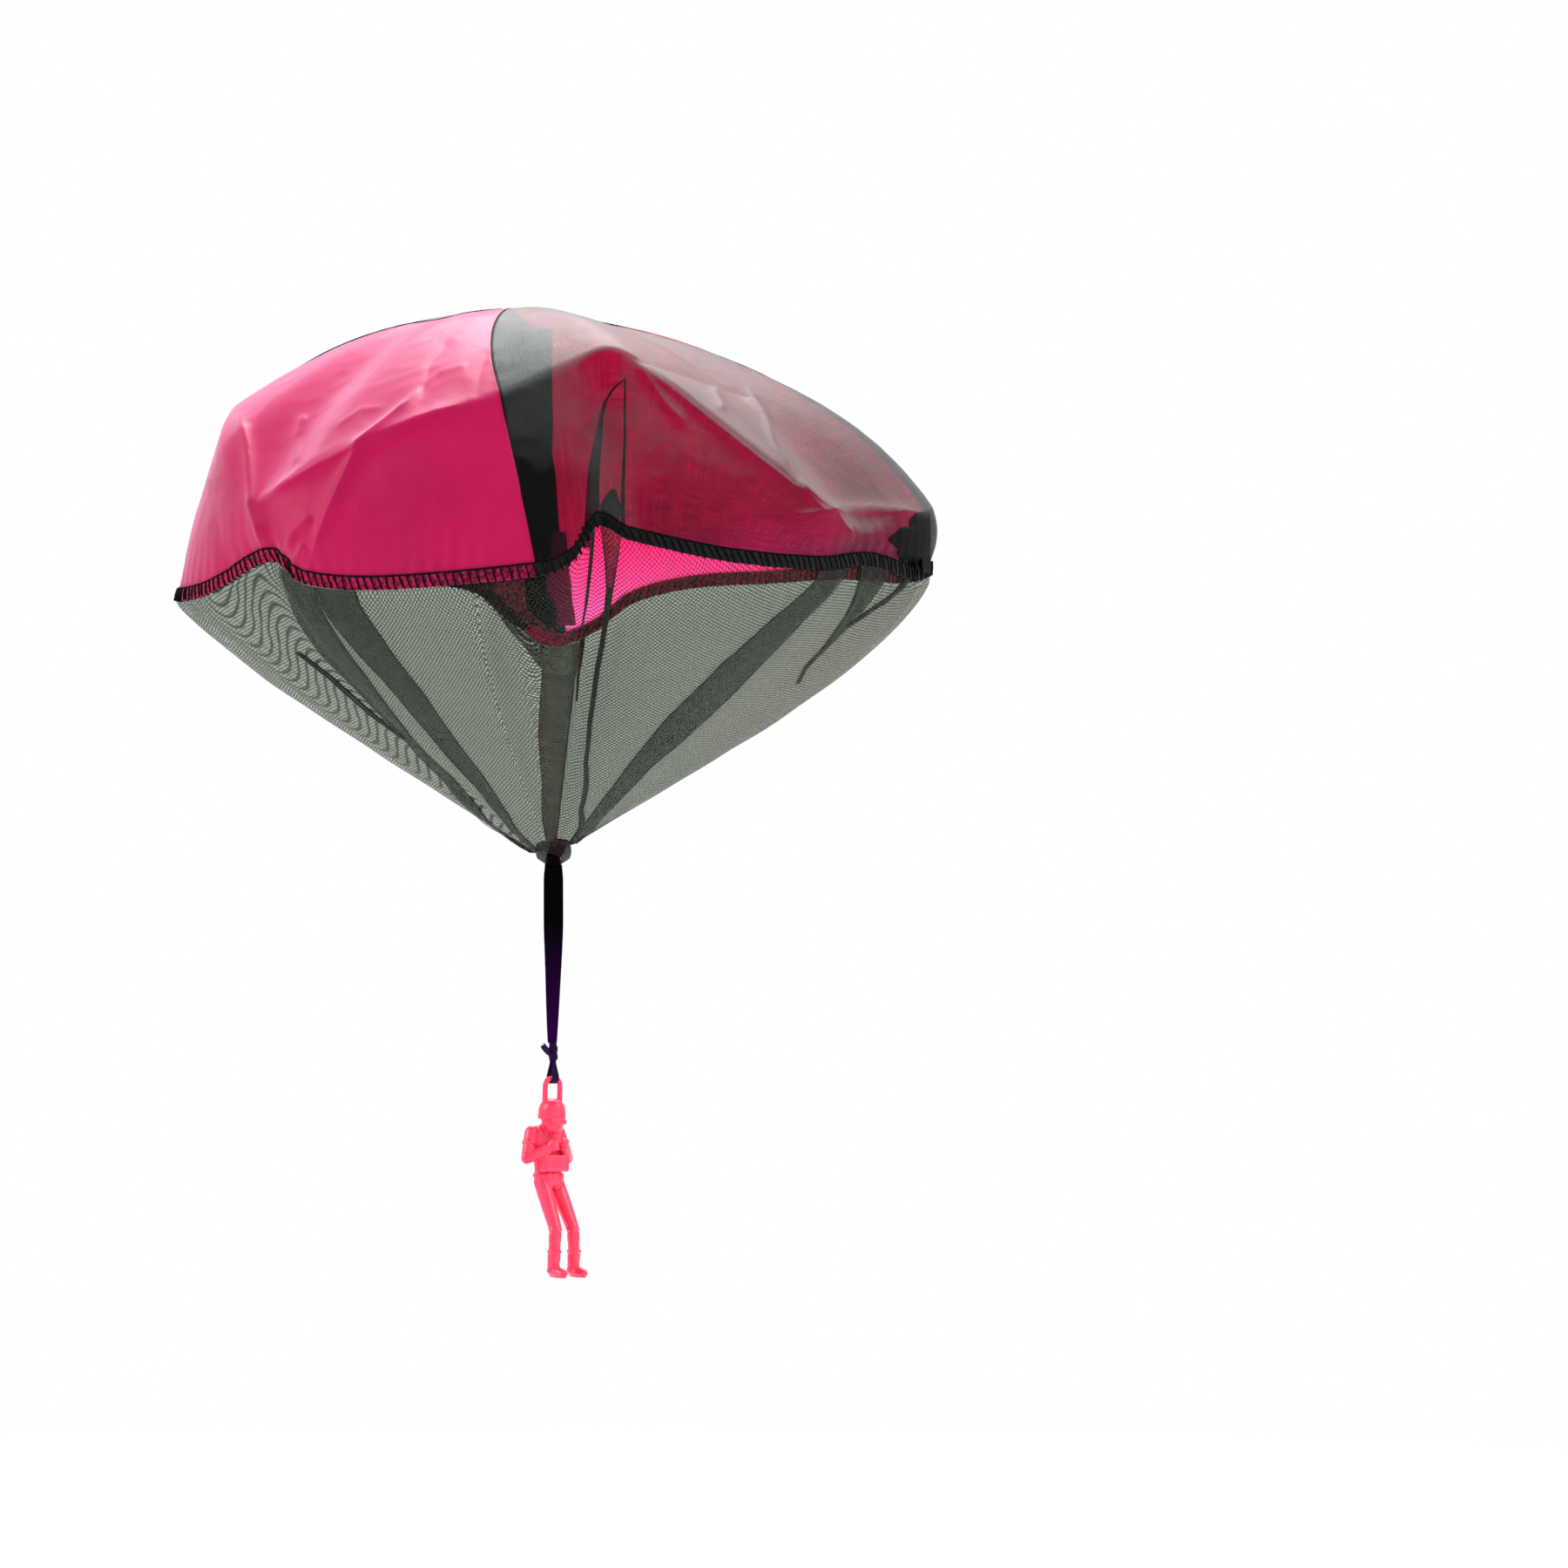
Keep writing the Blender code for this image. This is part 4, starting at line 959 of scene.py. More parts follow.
# %% [markdown]
# Some seams and folds lie on the cloth's inner side and show through it: the facing of the far seam,
# a tuck in the near black panel and the turned corner at the right end. Each is a strip of cloth. Its
# line was read off the photograph, in the picture's plane, and rays from the camera find the cloth
# that it lies on. So the strip follows the cloth and is right from every side.

# %% Seams and tucks inside
strip_wall = 0.0003
strip_gap = 0.0005
strip_rows = 60
strip_columns = 9


def tree_of(thing):
    """A tree of an object's faces that rays can be cast on."""
    shape = bmesh.new()
    shape.from_mesh(thing.data)
    tree = BVHTree.FromBMesh(shape)
    shape.free()
    return tree


def cast_on(trees, place, last):
    """Where the camera's ray through a place of the picture's plane meets the cloth, and the ray."""
    ray = (Vector((place[0], 0, place[1])) - camera.location).normalized()
    hits = [tree.ray_cast(camera.location, ray) for tree in trees]
    hits = [(hit[3], hit[0]) for hit in hits if hit[0] is not None]
    far = min(hits)[0] if hits else last
    return camera.location + ray * far, ray, far


def laid_strip(name, trees, line, halves, material, behind):
    """A strip along a line of the picture's plane, laid on the cloth or, with behind, under it."""
    line = np.array(line, float)
    lengths = distances(line)
    at = np.linspace(0, lengths[-1], strip_rows)
    centres = np.stack([np.interp(at, lengths, line[:, i]) for i in range(2)], axis=1)
    half = np.interp(at, np.linspace(0, lengths[-1], len(halves)), halves)
    run = unit(np.gradient(centres, axis=0))
    aside = np.stack([-run[:, 1], run[:, 0]], axis=1)
    shift = cloth_wall + strip_gap if behind else -strip_gap - strip_wall
    grid = np.zeros((strip_rows, strip_columns, 3))
    last = camera_distance
    for i in range(strip_rows):
        for j, share in enumerate(np.linspace(-1, 1, strip_columns)):
            point, ray, last = cast_on(trees, centres[i] + aside[i] * (half[i] * share), last)
            grid[i, j] = point + ray * shift
    uv = thread_lengths(grid)
    return grid_sheet(name, grid, uv, strip_wall, 0.0, material)


speckled_facing = fuzzy_edge("overlocked_net_facing", "#7A4250", "#2A1018")
matt_lining = spun_thread("matt_black_lining", "#090606")
far_trees = [tree_of(panels["far_right"]), tree_of(panels["far_left"])]
far_hem_trees = [tree_of(hem_pieces[quarter][0]) for quarter in ("far_left", "far_right")]
near_right_tree = [tree_of(panels["near_right"])]
# Cloth, whether the strip lies behind it, material, the line as x and z, and half widths along it
strips = {
    "far_seam_facing": (far_trees, False, shaded_black_cloth, (
        (-0.0092, -0.0080), (-0.0088, -0.1120),
    ), (0.0079, 0.0072)),
    "far_seam_foot": (far_trees, False, shaded_black_cloth, (
        (-0.0088, -0.1125), (-0.0090, -0.1220), (-0.0100, -0.1320), (-0.0093, -0.1420), (-0.0060, -0.1520),
        (-0.0010, -0.1600),
    ), (0.0072, 0.0065, 0.0050, 0.0052, 0.0060, 0.0008)),
    "far_edge_facing": (far_trees, False, speckled_facing, (
        (-0.0250, -0.1320), (-0.0235, -0.1385), (-0.0211, -0.1458), (-0.0177, -0.1522), (-0.0119, -0.1574),
        (-0.0058, -0.1607), (-0.0005, -0.1622),
    ), (0.0095, 0.0086, 0.0068, 0.0040, 0.0028, 0.0018, 0.0010)),
    "far_hem_facing": (far_trees + far_hem_trees, False, maroon_edge, (
        (-0.0140, -0.1610), (-0.0066, -0.1655), (0.0000, -0.1672), (0.0070, -0.1668),
    ), (0.0022, 0.0032, 0.0034, 0.0030)),
    "far_seam_turning": (far_trees, False, shaded_turned_cloth, (
        (0.0024, -0.1120), (0.0025, -0.1220), (0.0016, -0.1320), (0.0029, -0.1420), (0.0057, -0.1520),
        (0.0061, -0.1596),
    ), (0.0034, 0.0043, 0.0060, 0.0062, 0.0044, 0.0050)),
    "tuck_right": (near_right_tree, True, dark_edge, (
        (0.0356, -0.0330), (0.0356, -0.0640), (0.0347, -0.0900), (0.0347, -0.1140),
    ), (0.0004, 0.0006, 0.0009, 0.0012)),
    "tuck_left": (near_right_tree, True, dark_edge, (
        (0.0350, -0.0340), (0.0297, -0.0385), (0.0260, -0.0445), (0.0240, -0.0530), (0.0220, -0.0765),
        (0.0216, -0.0910), (0.0220, -0.1060),
    ), (0.0003, 0.0006, 0.0009, 0.0011, 0.0011, 0.0010)),
    # A band of sheer cloth behind the tuck darkens the cloth beside it: painted shade
    "tuck_shade": (near_right_tree, True, sheer_cloth, (
        (0.0247, -0.0440), (0.0228, -0.0600), (0.0202, -0.0770), (0.0182, -0.1060), (0.0172, -0.1200),
    ), (0.0001, 0.0018, 0.0030, 0.0030, 0.0026)),
    "tuck_foot": (near_right_tree, True, dark_edge, (
        (0.0300, -0.0900), (0.0290, -0.0950), (0.0280, -0.1070),
    ), (0.0012, 0.0055, 0.0045)),
    "end_fold": (near_right_tree, False, matt_lining, (
        (0.1700, -0.1150), (0.1769, -0.1150), (0.1813, -0.1172), (0.1860, -0.1166), (0.1912, -0.1166),
    ), (0.0008, 0.0055, 0.0105, 0.0158, 0.0155)),
}
for name, (trees, behind, material, line, halves) in strips.items():
    strip_piece = laid_strip(name, trees, line, halves, material, behind)
    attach(strip_piece, "canopy")
print("strips:", len(strips))

# %% [markdown]
# The panels meet in plain seams: a needle thread runs along each of them.

# %% Seams of the panels
seam_thread_radius = 0.00032
seam_steps = 160
seam_bobbin = spun_thread("dark_seam_thread", "#1A060E")
for quarter, (first, _, _) in quarters.items():
    beside, down = np.meshgrid((0, 0.01, 0.02), np.linspace(0.02, 1, seam_steps))
    line = panel_points(quarter, down, beside)[:, 0]
    seam = thread_tube(f"seam_{first}", line, seam_thread_radius, 6, seam_bobbin)
    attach(seam, "canopy")

# %% [markdown]
# The skirt is warp-knitted net: thin black yarn with holes of about 2 mm. Through two layers of it the
# white background looks grey-green. The holes are drawn by the material on a UV map that is the flat
# cut of the cone, so they keep their size from the hem to the neck. The skirt billows outwards, waves
# a little under the stitches and gathers into pleats at the neck.

# %% Net skirt
net_drop = 0.2740
net_mouth_radius = 0.0092
net_mouth_lift = 8.0
net_mouth_tilt = 14.0
net_billow = 0.014
flat_side_share = 0.60
flat_side_angle = -93.0
flat_side_spread = 26.0
billow_curve = 0.6
net_wall = 0.00015
net_rows = 81
net_columns = 121
near_mesh_pitch = 0.0023
far_mesh_pitch = 0.0008
near_yarn_share = 0.18
far_yarn_share = 0.33
yarn_softness = 0.24
net_drift = 0.0010
net_drift_length = 0.009
most_open = 0.96
neck_pleats = 26
fold_out = 0.0007
fold_shift = 0.0008
pleat_depth = 0.0016


def net_mouth(angles):
    """Points of the net's mouth: a tilted ring on a ball round the gather's pivot."""
    rise = np.radians(net_mouth_lift + net_mouth_tilt * np.sin(np.radians(angles)))
    points = outward(angles) * (net_mouth_radius * np.cos(rise))[:, None]
    points[:, 2] = net_mouth_radius * np.sin(rise) - net_drop
    return points


def skirt_plain(angles, share):
    """Points of the smooth net, from the hem at share 0 to the mouth of the gather at share 1."""
    start = ring_line(hem_shares, angles)
    line = net_mouth(angles) - start
    length = np.linalg.norm(line, axis=1)
    run = -(line * outward(angles)).sum(axis=1)
    fall = -line[:, 2]
    down_and_out = outward(angles) * (fall / length)[:, None]
    down_and_out[:, 2] = -run / length
    flatness = flat_side_share * np.exp(-(turned_from(angles, flat_side_angle) / flat_side_spread) ** 2)
    billow = net_billow * (1 - flatness) * np.sin(math.pi * share**billow_curve)
    first = line / length[:, None] * seam_gap
    return start + first + (line - first) * share[:, None] + down_and_out * billow[:, None]


def skirt_points(angles, share):
    """Points of the finished net: its top follows the hem, and it is pleated towards the neck."""
    plain = skirt_plain(angles, share)
    shift = edge_shift(angles) * ((1 - share) ** 3)[:, None]
    sway = 0.0016 * noise_at(plain, 0.030, 23.0) * np.sin(math.pi * share)
    near_neck = np.clip((share - 0.55) / 0.45, 0, 1) ** 1.5
    phase = np.radians(angles) * neck_pleats + 1.5 * noise_at(outward(angles), 0.3, 29.0)
    pleats = pleat_depth * near_neck * (1 + np.sin(phase)) / 2
    return plain + shift + outward(angles) * (sway + pleats)[:, None]


def net_uv(angles, share):
    """The flat cut of the skirt: slant length from the neck, and the turn of a cone laid flat."""
    start = ring_line(hem_shares, angles)
    reach = np.linalg.norm(start[:, :2], axis=1)
    slant = np.hypot(reach, net_drop + start[:, 2])
    turn = np.radians(angles) * (reach / slant)
    radius = slant * (1.02 - share)
    return np.stack([radius * np.sin(turn), radius * np.cos(turn)], axis=1)


def knitted_net(name, mesh_pitch, yarn_share, least_open):
    """Warp-knitted nylon net: matt black yarn round diamond holes, which are open."""
    material, tree, out = new_material(name)
    place = thread_place(tree)
    drift = add(tree, "ShaderNodeTexNoise", {"Vector": place, "Scale": 1 / net_drift_length, "Detail": 2.0})
    pull = add(tree, "ShaderNodeVectorMath", {0: drift.outputs["Color"], 1: (net_drift, net_drift, 0)},
               operation="MULTIPLY")
    drawn = add(tree, "ShaderNodeVectorMath", {0: place, 1: pull.outputs[0]}, operation="ADD").outputs[0]
    soft_edge = ((yarn_share - yarn_softness) / 2, (yarn_share + yarn_softness) / 2)
    holes = []
    for operation in ("ADD", "SUBTRACT"):
        lean = maths(tree, operation, axis_of(tree, drawn, 0), axis_of(tree, drawn, 1))
        off = maths(tree, "PINGPONG", maths(tree, "MULTIPLY", lean, 1 / mesh_pitch), 0.5)
        holes.append(map_range(tree, off, soft_edge, (least_open, most_open)))
    yarn = maths(tree, "SUBTRACT", 1.0, maths(tree, "MULTIPLY", *holes))
    cloth = add(tree, "ShaderNodeBsdfPrincipled", {
        "Base Color": two_tone(tree, cloth_noise(tree, 0.02), "#171B17", "#242A23"),
        "Roughness": 0.6, "Specular IOR Level": 0.2,
    })
    hazy = add(tree, "ShaderNodeBsdfTransparent", {"Color": colour("#FBFFFA")})
    both = add(tree, "ShaderNodeMixShader", {"Fac": yarn, 1: hazy.outputs[0], 2: cloth.outputs[0]})
    return dressed(material, tree, out, both)


# The far side's net is drawn finer than the near side's, so that the two beat less on each other
near_net = knitted_net("warp_knitted_nylon_net", near_mesh_pitch, near_yarn_share, 0.2)
far_net = knitted_net("bunched_nylon_net", far_mesh_pitch, far_yarn_share, 0.45)


def net_sheet(name, angle_grid, share_grid, net_cloth, layer=0):
    """A closed piece of net over a grid of angles and shares. Each layer of a fold lies further out."""
    shape = angle_grid.shape
    angles, share = angle_grid.ravel(), share_grid.ravel()
    points = (skirt_points(angles, share) + outward(angles) * (fold_out * layer)).reshape(*shape, 3)
    uv = net_uv(angles, share).reshape(*shape, 2) * (1 - 2 * (layer % 2), 1) + layer * fold_shift
    return grid_sheet(name, points, uv, net_wall, 1.0, net_cloth)


skirts = {}
for quarter in quarters:
    angles = quarter_angles(quarter, net_columns)
    angle_grid, share_grid = np.meshgrid(angles, np.linspace(0, 1, net_rows))
    net_cloth = near_net if quarter.startswith("near") else far_net
    skirt = net_sheet(f"skirt_{quarter}", angle_grid, share_grid, net_cloth)
    skirts[quarter] = skirt
    print_area(skirt)
    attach(skirt, "canopy")
    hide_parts(f"net_{quarter}")

# %% [markdown]
# Where the net is wider than the hem it is folded on itself, and each fold is a dark band that runs
# to the neck. The bands are strips of the same net laid on the skirt. Each row of a band's table is
# its share of the way down and its left and right edge, in degrees.

# %% Folds of the net
fold_columns = 9
fold_rows = 49
fold_edge = 0.0007
folded_edge = knitted_net("folded_net_edge", near_mesh_pitch, 0.75, 0.2)
narrow_folds = ("left_crease", "seam_line", "short_line", "right_line", "far_line")
fold_edges = {
    "left_outer": ((0.0, -51, -43), (0.135, -54, -42.2), (0.25, -55, -41.6), (0.36, -54.2, -42.8),
        (0.46, -54.6, -44.6), (0.55, -55.8, -47.5), (0.70, -60, -53), (0.82, -70, -60),
        (0.90, -84, -70), (1.0, -102, -84)),
    "left_inner": ((0.0, -43, -35.2), (0.11, -41, -32.6), (0.245, -38, -30.8), (0.32, -37.4, -29.8),
        (0.48, -37.5, -29.8), (0.635, -38.2, -29.8), (0.725, -38.8, -31.0), (0.84, -44, -34.5),
        (1.0, -60, -46)),
    "left_crease": ((0.22, -61, -60.2), (0.32, -59, -57.6), (0.453, -58.4, -56.6), (0.55, -56.4, -55.4)),
    "far_middle": ((0.0, 175.1, 182.2), (0.11, 176.0, 182.4), (0.36, 176.4, 183.9),
        (0.63, 176.4, 184.6), (0.73, 176.4, 186.0), (0.95, 175.5, 191.2), (1.0, 175.0, 196.0)),
    "far_wedge": ((0.0, 182.2, 190.5), (0.025, 182.3, 186.0), (0.07, 182.4, 182.7)),
    "far_line": ((0.0, 174.5, 175.2), (0.10, 175.2, 175.7), (0.20, 175.1, 175.5)),
    "seam_wedge": ((0.0, 7.5, 10.6), (0.06, 8.4, 10.4), (0.13, 9.2, 10.3)),
    "seam_line": ((0.12, 9.2, 10.3), (0.237, 9.5, 10.3), (0.365, 9.5, 10.5), (0.53, 10.2, 11.4),
        (0.67, 12.2, 13.9), (0.855, 20, 23.5), (0.975, 38, 47)),
    "short_line": ((0.0, 5.9, 6.6), (0.17, 5.5, 6.1), (0.235, 5.0, 5.3)),
    "right_band": ((0.0, 48.2, 55.2), (0.115, 41.2, 49.2), (0.265, 35.9, 46.7), (0.465, 31.8, 45.4),
        (0.66, 30.8, 42.6), (0.80, 31.6, 45), (0.895, 34, 52), (1.0, 40, 74)),
    "right_wedge": ((0.0, 59.4, 67.3), (0.125, 62.2, 65.9), (0.208, 63.8, 64.9), (0.285, 64.2, 65.0),
        (0.335, 67.5, 68.1)),
    "right_line": ((0.0, 73.6, 74.8), (0.10, 67.2, 68.4), (0.15, 65, 65.9)),
}


def table_at(rows, shares):
    """Values between the rows of a table whose first column is a share."""
    rows = np.array(rows, float)
    return [np.interp(shares, rows[:, 0], rows[:, i]) for i in range(1, rows.shape[1])]


for name, rows in fold_edges.items():
    shares = np.linspace(rows[0][0], rows[-1][0], fold_rows)
    left, right = table_at(rows, shares)
    across = np.linspace(0, 1, fold_columns)
    angle_grid = left[:, None] + (right - left)[:, None] * across[None]
    share_grid = np.repeat(shares[:, None], fold_columns, axis=1)
    reach = np.linalg.norm(skirt_points(left, shares)[:, :2], axis=1)
    edge = np.degrees(fold_edge / reach)
    edges = [np.linspace(side, side + turn, 3).T for side, turn in ((left, edge), (right - edge, edge))]
    fold_net = folded_edge if name in narrow_folds else far_net
    made = [
        net_sheet(f"net_fold_{name}_{layer}", angle_grid, share_grid, fold_net, layer) for layer in (1, 2)
    ]
    for side, edge_angles in zip(("left", "right"), edges):
        edge_shares = np.repeat(shares[:, None], 3, axis=1)
        made.append(net_sheet(f"net_fold_{name}_{side}_edge", edge_angles, edge_shares, folded_edge, 3))
    for fold in made:
        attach(fold, "canopy")

# %% [markdown]
# At the neck the net is drawn together in deep pleats round a bunch. The bunch is part of a ball, and the
# net's mouth lies on it, so that it touches the mouth all round; a turn of the bunch on the ball, as real net
# makes when the ribbon pulls it aside, would keep that touch.

# %% Gathered neck of the net
gather_pivot = -net_drop
gather_radius = 0.0088
gather_rows = 46
gather_columns = 241
gather_pleats = 22
gather_wall = 0.0005
gather_top_angle = 30.0
gather_low_angle = -26.0
gather_foot_radius = 0.0034
gather_height = 0.0068
gather_ball_share = 0.62


def dense_net():
    """Net drawn together in many layers: hardly a hole is left open, and yarn crosses yarn."""
    material, tree, out = new_material("gathered_nylon_net")
    settings = {"Vector": thread_place(tree), "Scale": 1 / 0.0011, "Detail": 4.0}
    grain = add(tree, "ShaderNodeTexNoise", settings).outputs["Fac"]
    cloth = add(tree, "ShaderNodeBsdfPrincipled", {
        "Base Color": two_tone(tree, grain, "#0E0F0E", "#5A5E58", 0.35, 0.70),
        "Roughness": 0.7, "Alpha": map_range(tree, grain, (0.40, 0.62), (0.80, 0.45)),
        "Normal": relief(tree, grain, 0.0002, 0.6),
    })
    return dressed(material, tree, out, cloth)


def neck_line(steps):
    """Radius and height under the pivot down the neck: round the ball, then in to its foot."""
    on_ball = np.clip(steps / gather_ball_share, 0, 1)
    turn = np.radians(gather_top_angle + (gather_low_angle - gather_top_angle) * on_ball)
    inwards = np.clip((steps - gather_ball_share) / (1 - gather_ball_share), 0, 1)
    low_radius = gather_radius * math.cos(math.radians(gather_low_angle))
    low_height = gather_radius * math.sin(math.radians(gather_low_angle))
    radius = gather_radius * np.cos(turn) + (gather_foot_radius - low_radius) * inwards
    height = gather_radius * np.sin(turn) + (-gather_height - low_height) * inwards
    return radius, height


angles = np.linspace(0, 360, gather_columns)
steps = np.linspace(0, 1, gather_rows)
radii, rises = neck_line(steps)
heights = gather_pivot + rises
fold = np.sin(np.radians(angles) * gather_pleats + 1.2 * noise_at(outward(angles), 0.5, 31.0))
depth = np.interp(steps, (0, gather_ball_share, 1), (0.03, 0.06, 0.20))
bulge = 1 - depth[:, None] * np.abs(fold)[None]
grid = outward(angles)[None] * (radii[:, None] * bulge)[:, :, None]
grid[:, :, 2] = heights[:, None]
uv = np.stack(np.meshgrid(np.radians(angles) * gather_radius, heights), axis=2)
gathered_net = dense_net()
neck = grid_sheet("gathered_neck", grid, uv, gather_wall, 0.0, gathered_net)
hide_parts("net_gather")
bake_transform(neck)

# %% [markdown]
# The ribbon is narrow black satin. It is doubled round a loop under the gathered net, and towards the knot
# its edges are folded behind it, so that it looks narrower. A short end of it is sewn to the front of the
# neck. Its strips are grids too, and the satin's fine cross ribs follow their UV map.

# %% Satin ribbon
ribbon_half = 0.0049
ribbon_wall = 0.00045
ribbon_columns = 37
fold_radius = 0.00070
ribbon_top = -0.2824
ribbon_foot = -0.3709
roll_radius = 0.0013
back_narrower = 0.0005
knot_top = -0.3712
knot_height = 0.0088

# Share of the ribbon's length from the roll, then what shows of its width
seen_shares = (
    (0.0, 0.86), (0.06, 0.97), (0.16, 1.0), (0.32, 0.99), (0.45, 0.89), (0.61, 0.765), (0.78, 0.64),
    (0.91, 0.53), (1.0, 0.43),
)


def satin_ribbon():
    """Black polyester satin: fine cross ribs, a faint soft gloss and a violet cast below."""
    material, tree, out = new_material("black_satin_ribbon_weave")
    ribs = add(tree, "ShaderNodeTexWave", {
        "Vector": thread_place(tree), "Scale": 1 / 0.0011 / math.tau * 2, "Distortion": 0.6, "Detail": 1.0,
        "Detail Scale": 2.0,
    }, bands_direction="Y").outputs["Fac"]
    down = map_range(tree, axis_of(tree, object_place(tree), 2), (-0.31, -0.375))
    cloth = add(tree, "ShaderNodeBsdfPrincipled", {
        "Base Color": mixed(tree, down, "#010101", "#2A003C"),
        "Roughness": 0.48, "Normal": relief(tree, ribs, 0.00006, 0.6), "Specular IOR Level": 0.015,
    })
    return dressed(material, tree, out, cloth)


def section(half_seen, half_cloth, steps):
    """Places across a ribbon whose edges are folded behind it, as rows of across and behind."""
    flat = half_cloth if half_seen >= half_cloth else max(half_seen - fold_radius, 0.0003)
    rows = []
    for s in np.linspace(-half_cloth, half_cloth, steps):
        over = max(abs(s) - flat, 0) / fold_radius
        if over <= math.pi:
            across = min(abs(s), flat) + fold_radius * math.sin(over)
            behind = fold_radius * (1 - math.cos(over))
        else:
            across, behind = flat - (over - math.pi) * fold_radius, 2 * fold_radius
        rows.append((math.copysign(across, s), behind))
    return rows


def strip(name, rows, material, wall=ribbon_wall):
    """A ribbon along rows of (centre, side, behind, half seen, half cloth)."""
    grid = []
    for centre, side, behind, half_seen, half_cloth in rows:
        places = section(half_seen, half_cloth, ribbon_columns)
        grid.append([centre + side * across + behind * back for across, back in places])
    grid = np.array(grid)
    across = np.linspace(-ribbon_half, ribbon_half, ribbon_columns)
    uv = np.stack(np.meshgrid(across, distances(grid[:, ribbon_columns // 2])), axis=2)
    return grid_sheet(name, grid, uv, wall, 0.0, material)


satin = satin_ribbon()
side = Vector((1, 0, 0))
length = ribbon_top - ribbon_foot
rows = []
for share in np.linspace(1, 0, 60):
    seen = np.interp(share, *zip(*seen_shares)) * ribbon_half
    apart = np.interp(share, (0, 0.16, 1), (roll_radius, 0.0002, 0.0001))
    centre = Vector((0, apart, ribbon_top - length * share))
    rows.append((centre, side, Vector((0, -1, 0)), seen, seen - back_narrower))
for degrees in range(15, 180, 15):
    turn = math.radians(180 - degrees)
    away = Vector((0, -math.cos(turn), math.sin(turn)))
    seen = seen_shares[0][1] * ribbon_half
    cloth_half = seen - back_narrower + (ribbon_half - seen + back_narrower) * degrees / 180
    rows.append((Vector((0, 0, ribbon_top)) + away * roll_radius, side, -away, seen, cloth_half))
for share in np.linspace(0, 1, 90):
    seen = np.interp(share, *zip(*seen_shares)) * ribbon_half
    front = np.interp(share, (0, 0.16, 1), (roll_radius, 0.0007, 0.0006))
    wave = 0.00025 * noise.noise(Vector((0, 0, share * 9))) * min(share * 6, 1)
    sway = 0.0003 * math.sin(share * 5.0) * share
    centre = Vector((sway, -front + wave, ribbon_top - length * share))
    rows.append((centre, side, Vector((0, 1, 0)), seen, ribbon_half))
strap = strip("doubled_ribbon", rows, satin)
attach(strap, "ribbon")
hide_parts("ribbon_strap")

# The end that is sewn to the front of the neck: share of the way down, half width, gap to the neck
end_shares = ((0.0, 0.58), (0.35, 0.68), (1.0, 0.86))
end_top = -0.2758
end_foot = -0.2813
end_gap = 0.00055
end_rows = 24
end_columns = 17

ball_steps = np.linspace(1, 0, 200)
ball_radii, ball_rises = neck_line(ball_steps)
downs = np.linspace(0, 1, end_rows)
across = np.linspace(-1, 1, end_columns)
halves = np.interp(downs, *zip(*end_shares)) * ribbon_half
heights = end_top + (end_foot - end_top) * downs
grid = np.zeros((end_rows, end_columns, 3))
grid[:, :, 0] = across[None] * halves[:, None] - 0.0002
grid[:, :, 2] = heights[:, None]
reach = np.interp(heights - gather_pivot, ball_rises, ball_radii)
reach = np.where(heights < gather_pivot - gather_height, gather_foot_radius * 0.72, reach) + end_gap
grid[:, :, 1] = -np.sqrt(np.maximum(reach[:, None] ** 2 - (grid[:, :, 0] * 0.75) ** 2, 0.0020**2))
uv = np.stack(np.meshgrid(across * ribbon_half, end_top - heights), axis=2)
sewn_end = grid_sheet("sewn_ribbon_end", grid, uv, ribbon_wall, 0.0, satin)
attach(sewn_end, "gather")

# %% [markdown]
# The tab is the ribbon's folded end. It is sewn slantwise to the front of the net, so rays from the
# front find the net under each of its points, and it lies half a millimetre in front of them.

# %% Sewn tab
tab_half = 0.0034
tab_wall = 0.0007
tab_gap = 0.00035
tab_length = 0.009
tab_rows = 30
tab_columns = 25
# Middle across at the top and the foot, height at the middle, then how the edge drops to the right
tab_top = (0.00405, -0.26895, -0.00035)
tab_low = (0.00045, -0.27655, -0.00115)


def noisy_satin(name, size, dark, light, depth, strength, roughness):
    """The ribbon's satin where it is worked: two tones and small pleats from the same noise."""
    material, tree, out = new_material(name)
    grain = cloth_noise(tree, size)
    cloth = add(tree, "ShaderNodeBsdfPrincipled", {
        "Base Color": two_tone(tree, grain, dark, light),
        "Roughness": roughness, "Normal": relief(tree, grain, depth, strength), "Specular IOR Level": 0.05,
    })
    return dressed(material, tree, out, cloth)


skirt_trees = [tree_of(skirts[quarter]) for quarter in ("near_left", "near_right")]
mouth_reach = net_mouth_radius + net_wall + pleat_depth
grid = np.zeros((tab_rows, tab_columns, 3))
for i, down in enumerate(np.linspace(0, 1, tab_rows)):
    middle, height, drop = (top + (low - top) * down for top, low in zip(tab_top, tab_low))
    for j, aside in enumerate(np.linspace(-1, 1, tab_columns)):
        x, z = middle + tab_half * aside, height + drop * aside
        front = math.sqrt(mouth_reach**2 - x * x) if z < gather_pivot + net_mouth_radius * 0.4 else 0
        for tree in skirt_trees:
            hit = tree.ray_cast(Vector((x, -half_span, z)), Vector((0, 1, 0)))[0]
            front = max(front, -hit.y) if hit else front
        grid[i, j] = (x, -front - tab_gap, z)
for _ in range(3):
    grid[1:-1, :, 1] = (grid[:-2, :, 1] + 2 * grid[1:-1, :, 1] + grid[2:, :, 1]) / 4
    grid[:, 1:-1, 1] = (grid[:, :-2, 1] + 2 * grid[:, 1:-1, 1] + grid[:, 2:, 1]) / 4
tab_across = np.linspace(-tab_half, tab_half, tab_columns)
uv = np.stack(np.meshgrid(tab_across, np.linspace(0, tab_length, tab_rows)), axis=2)
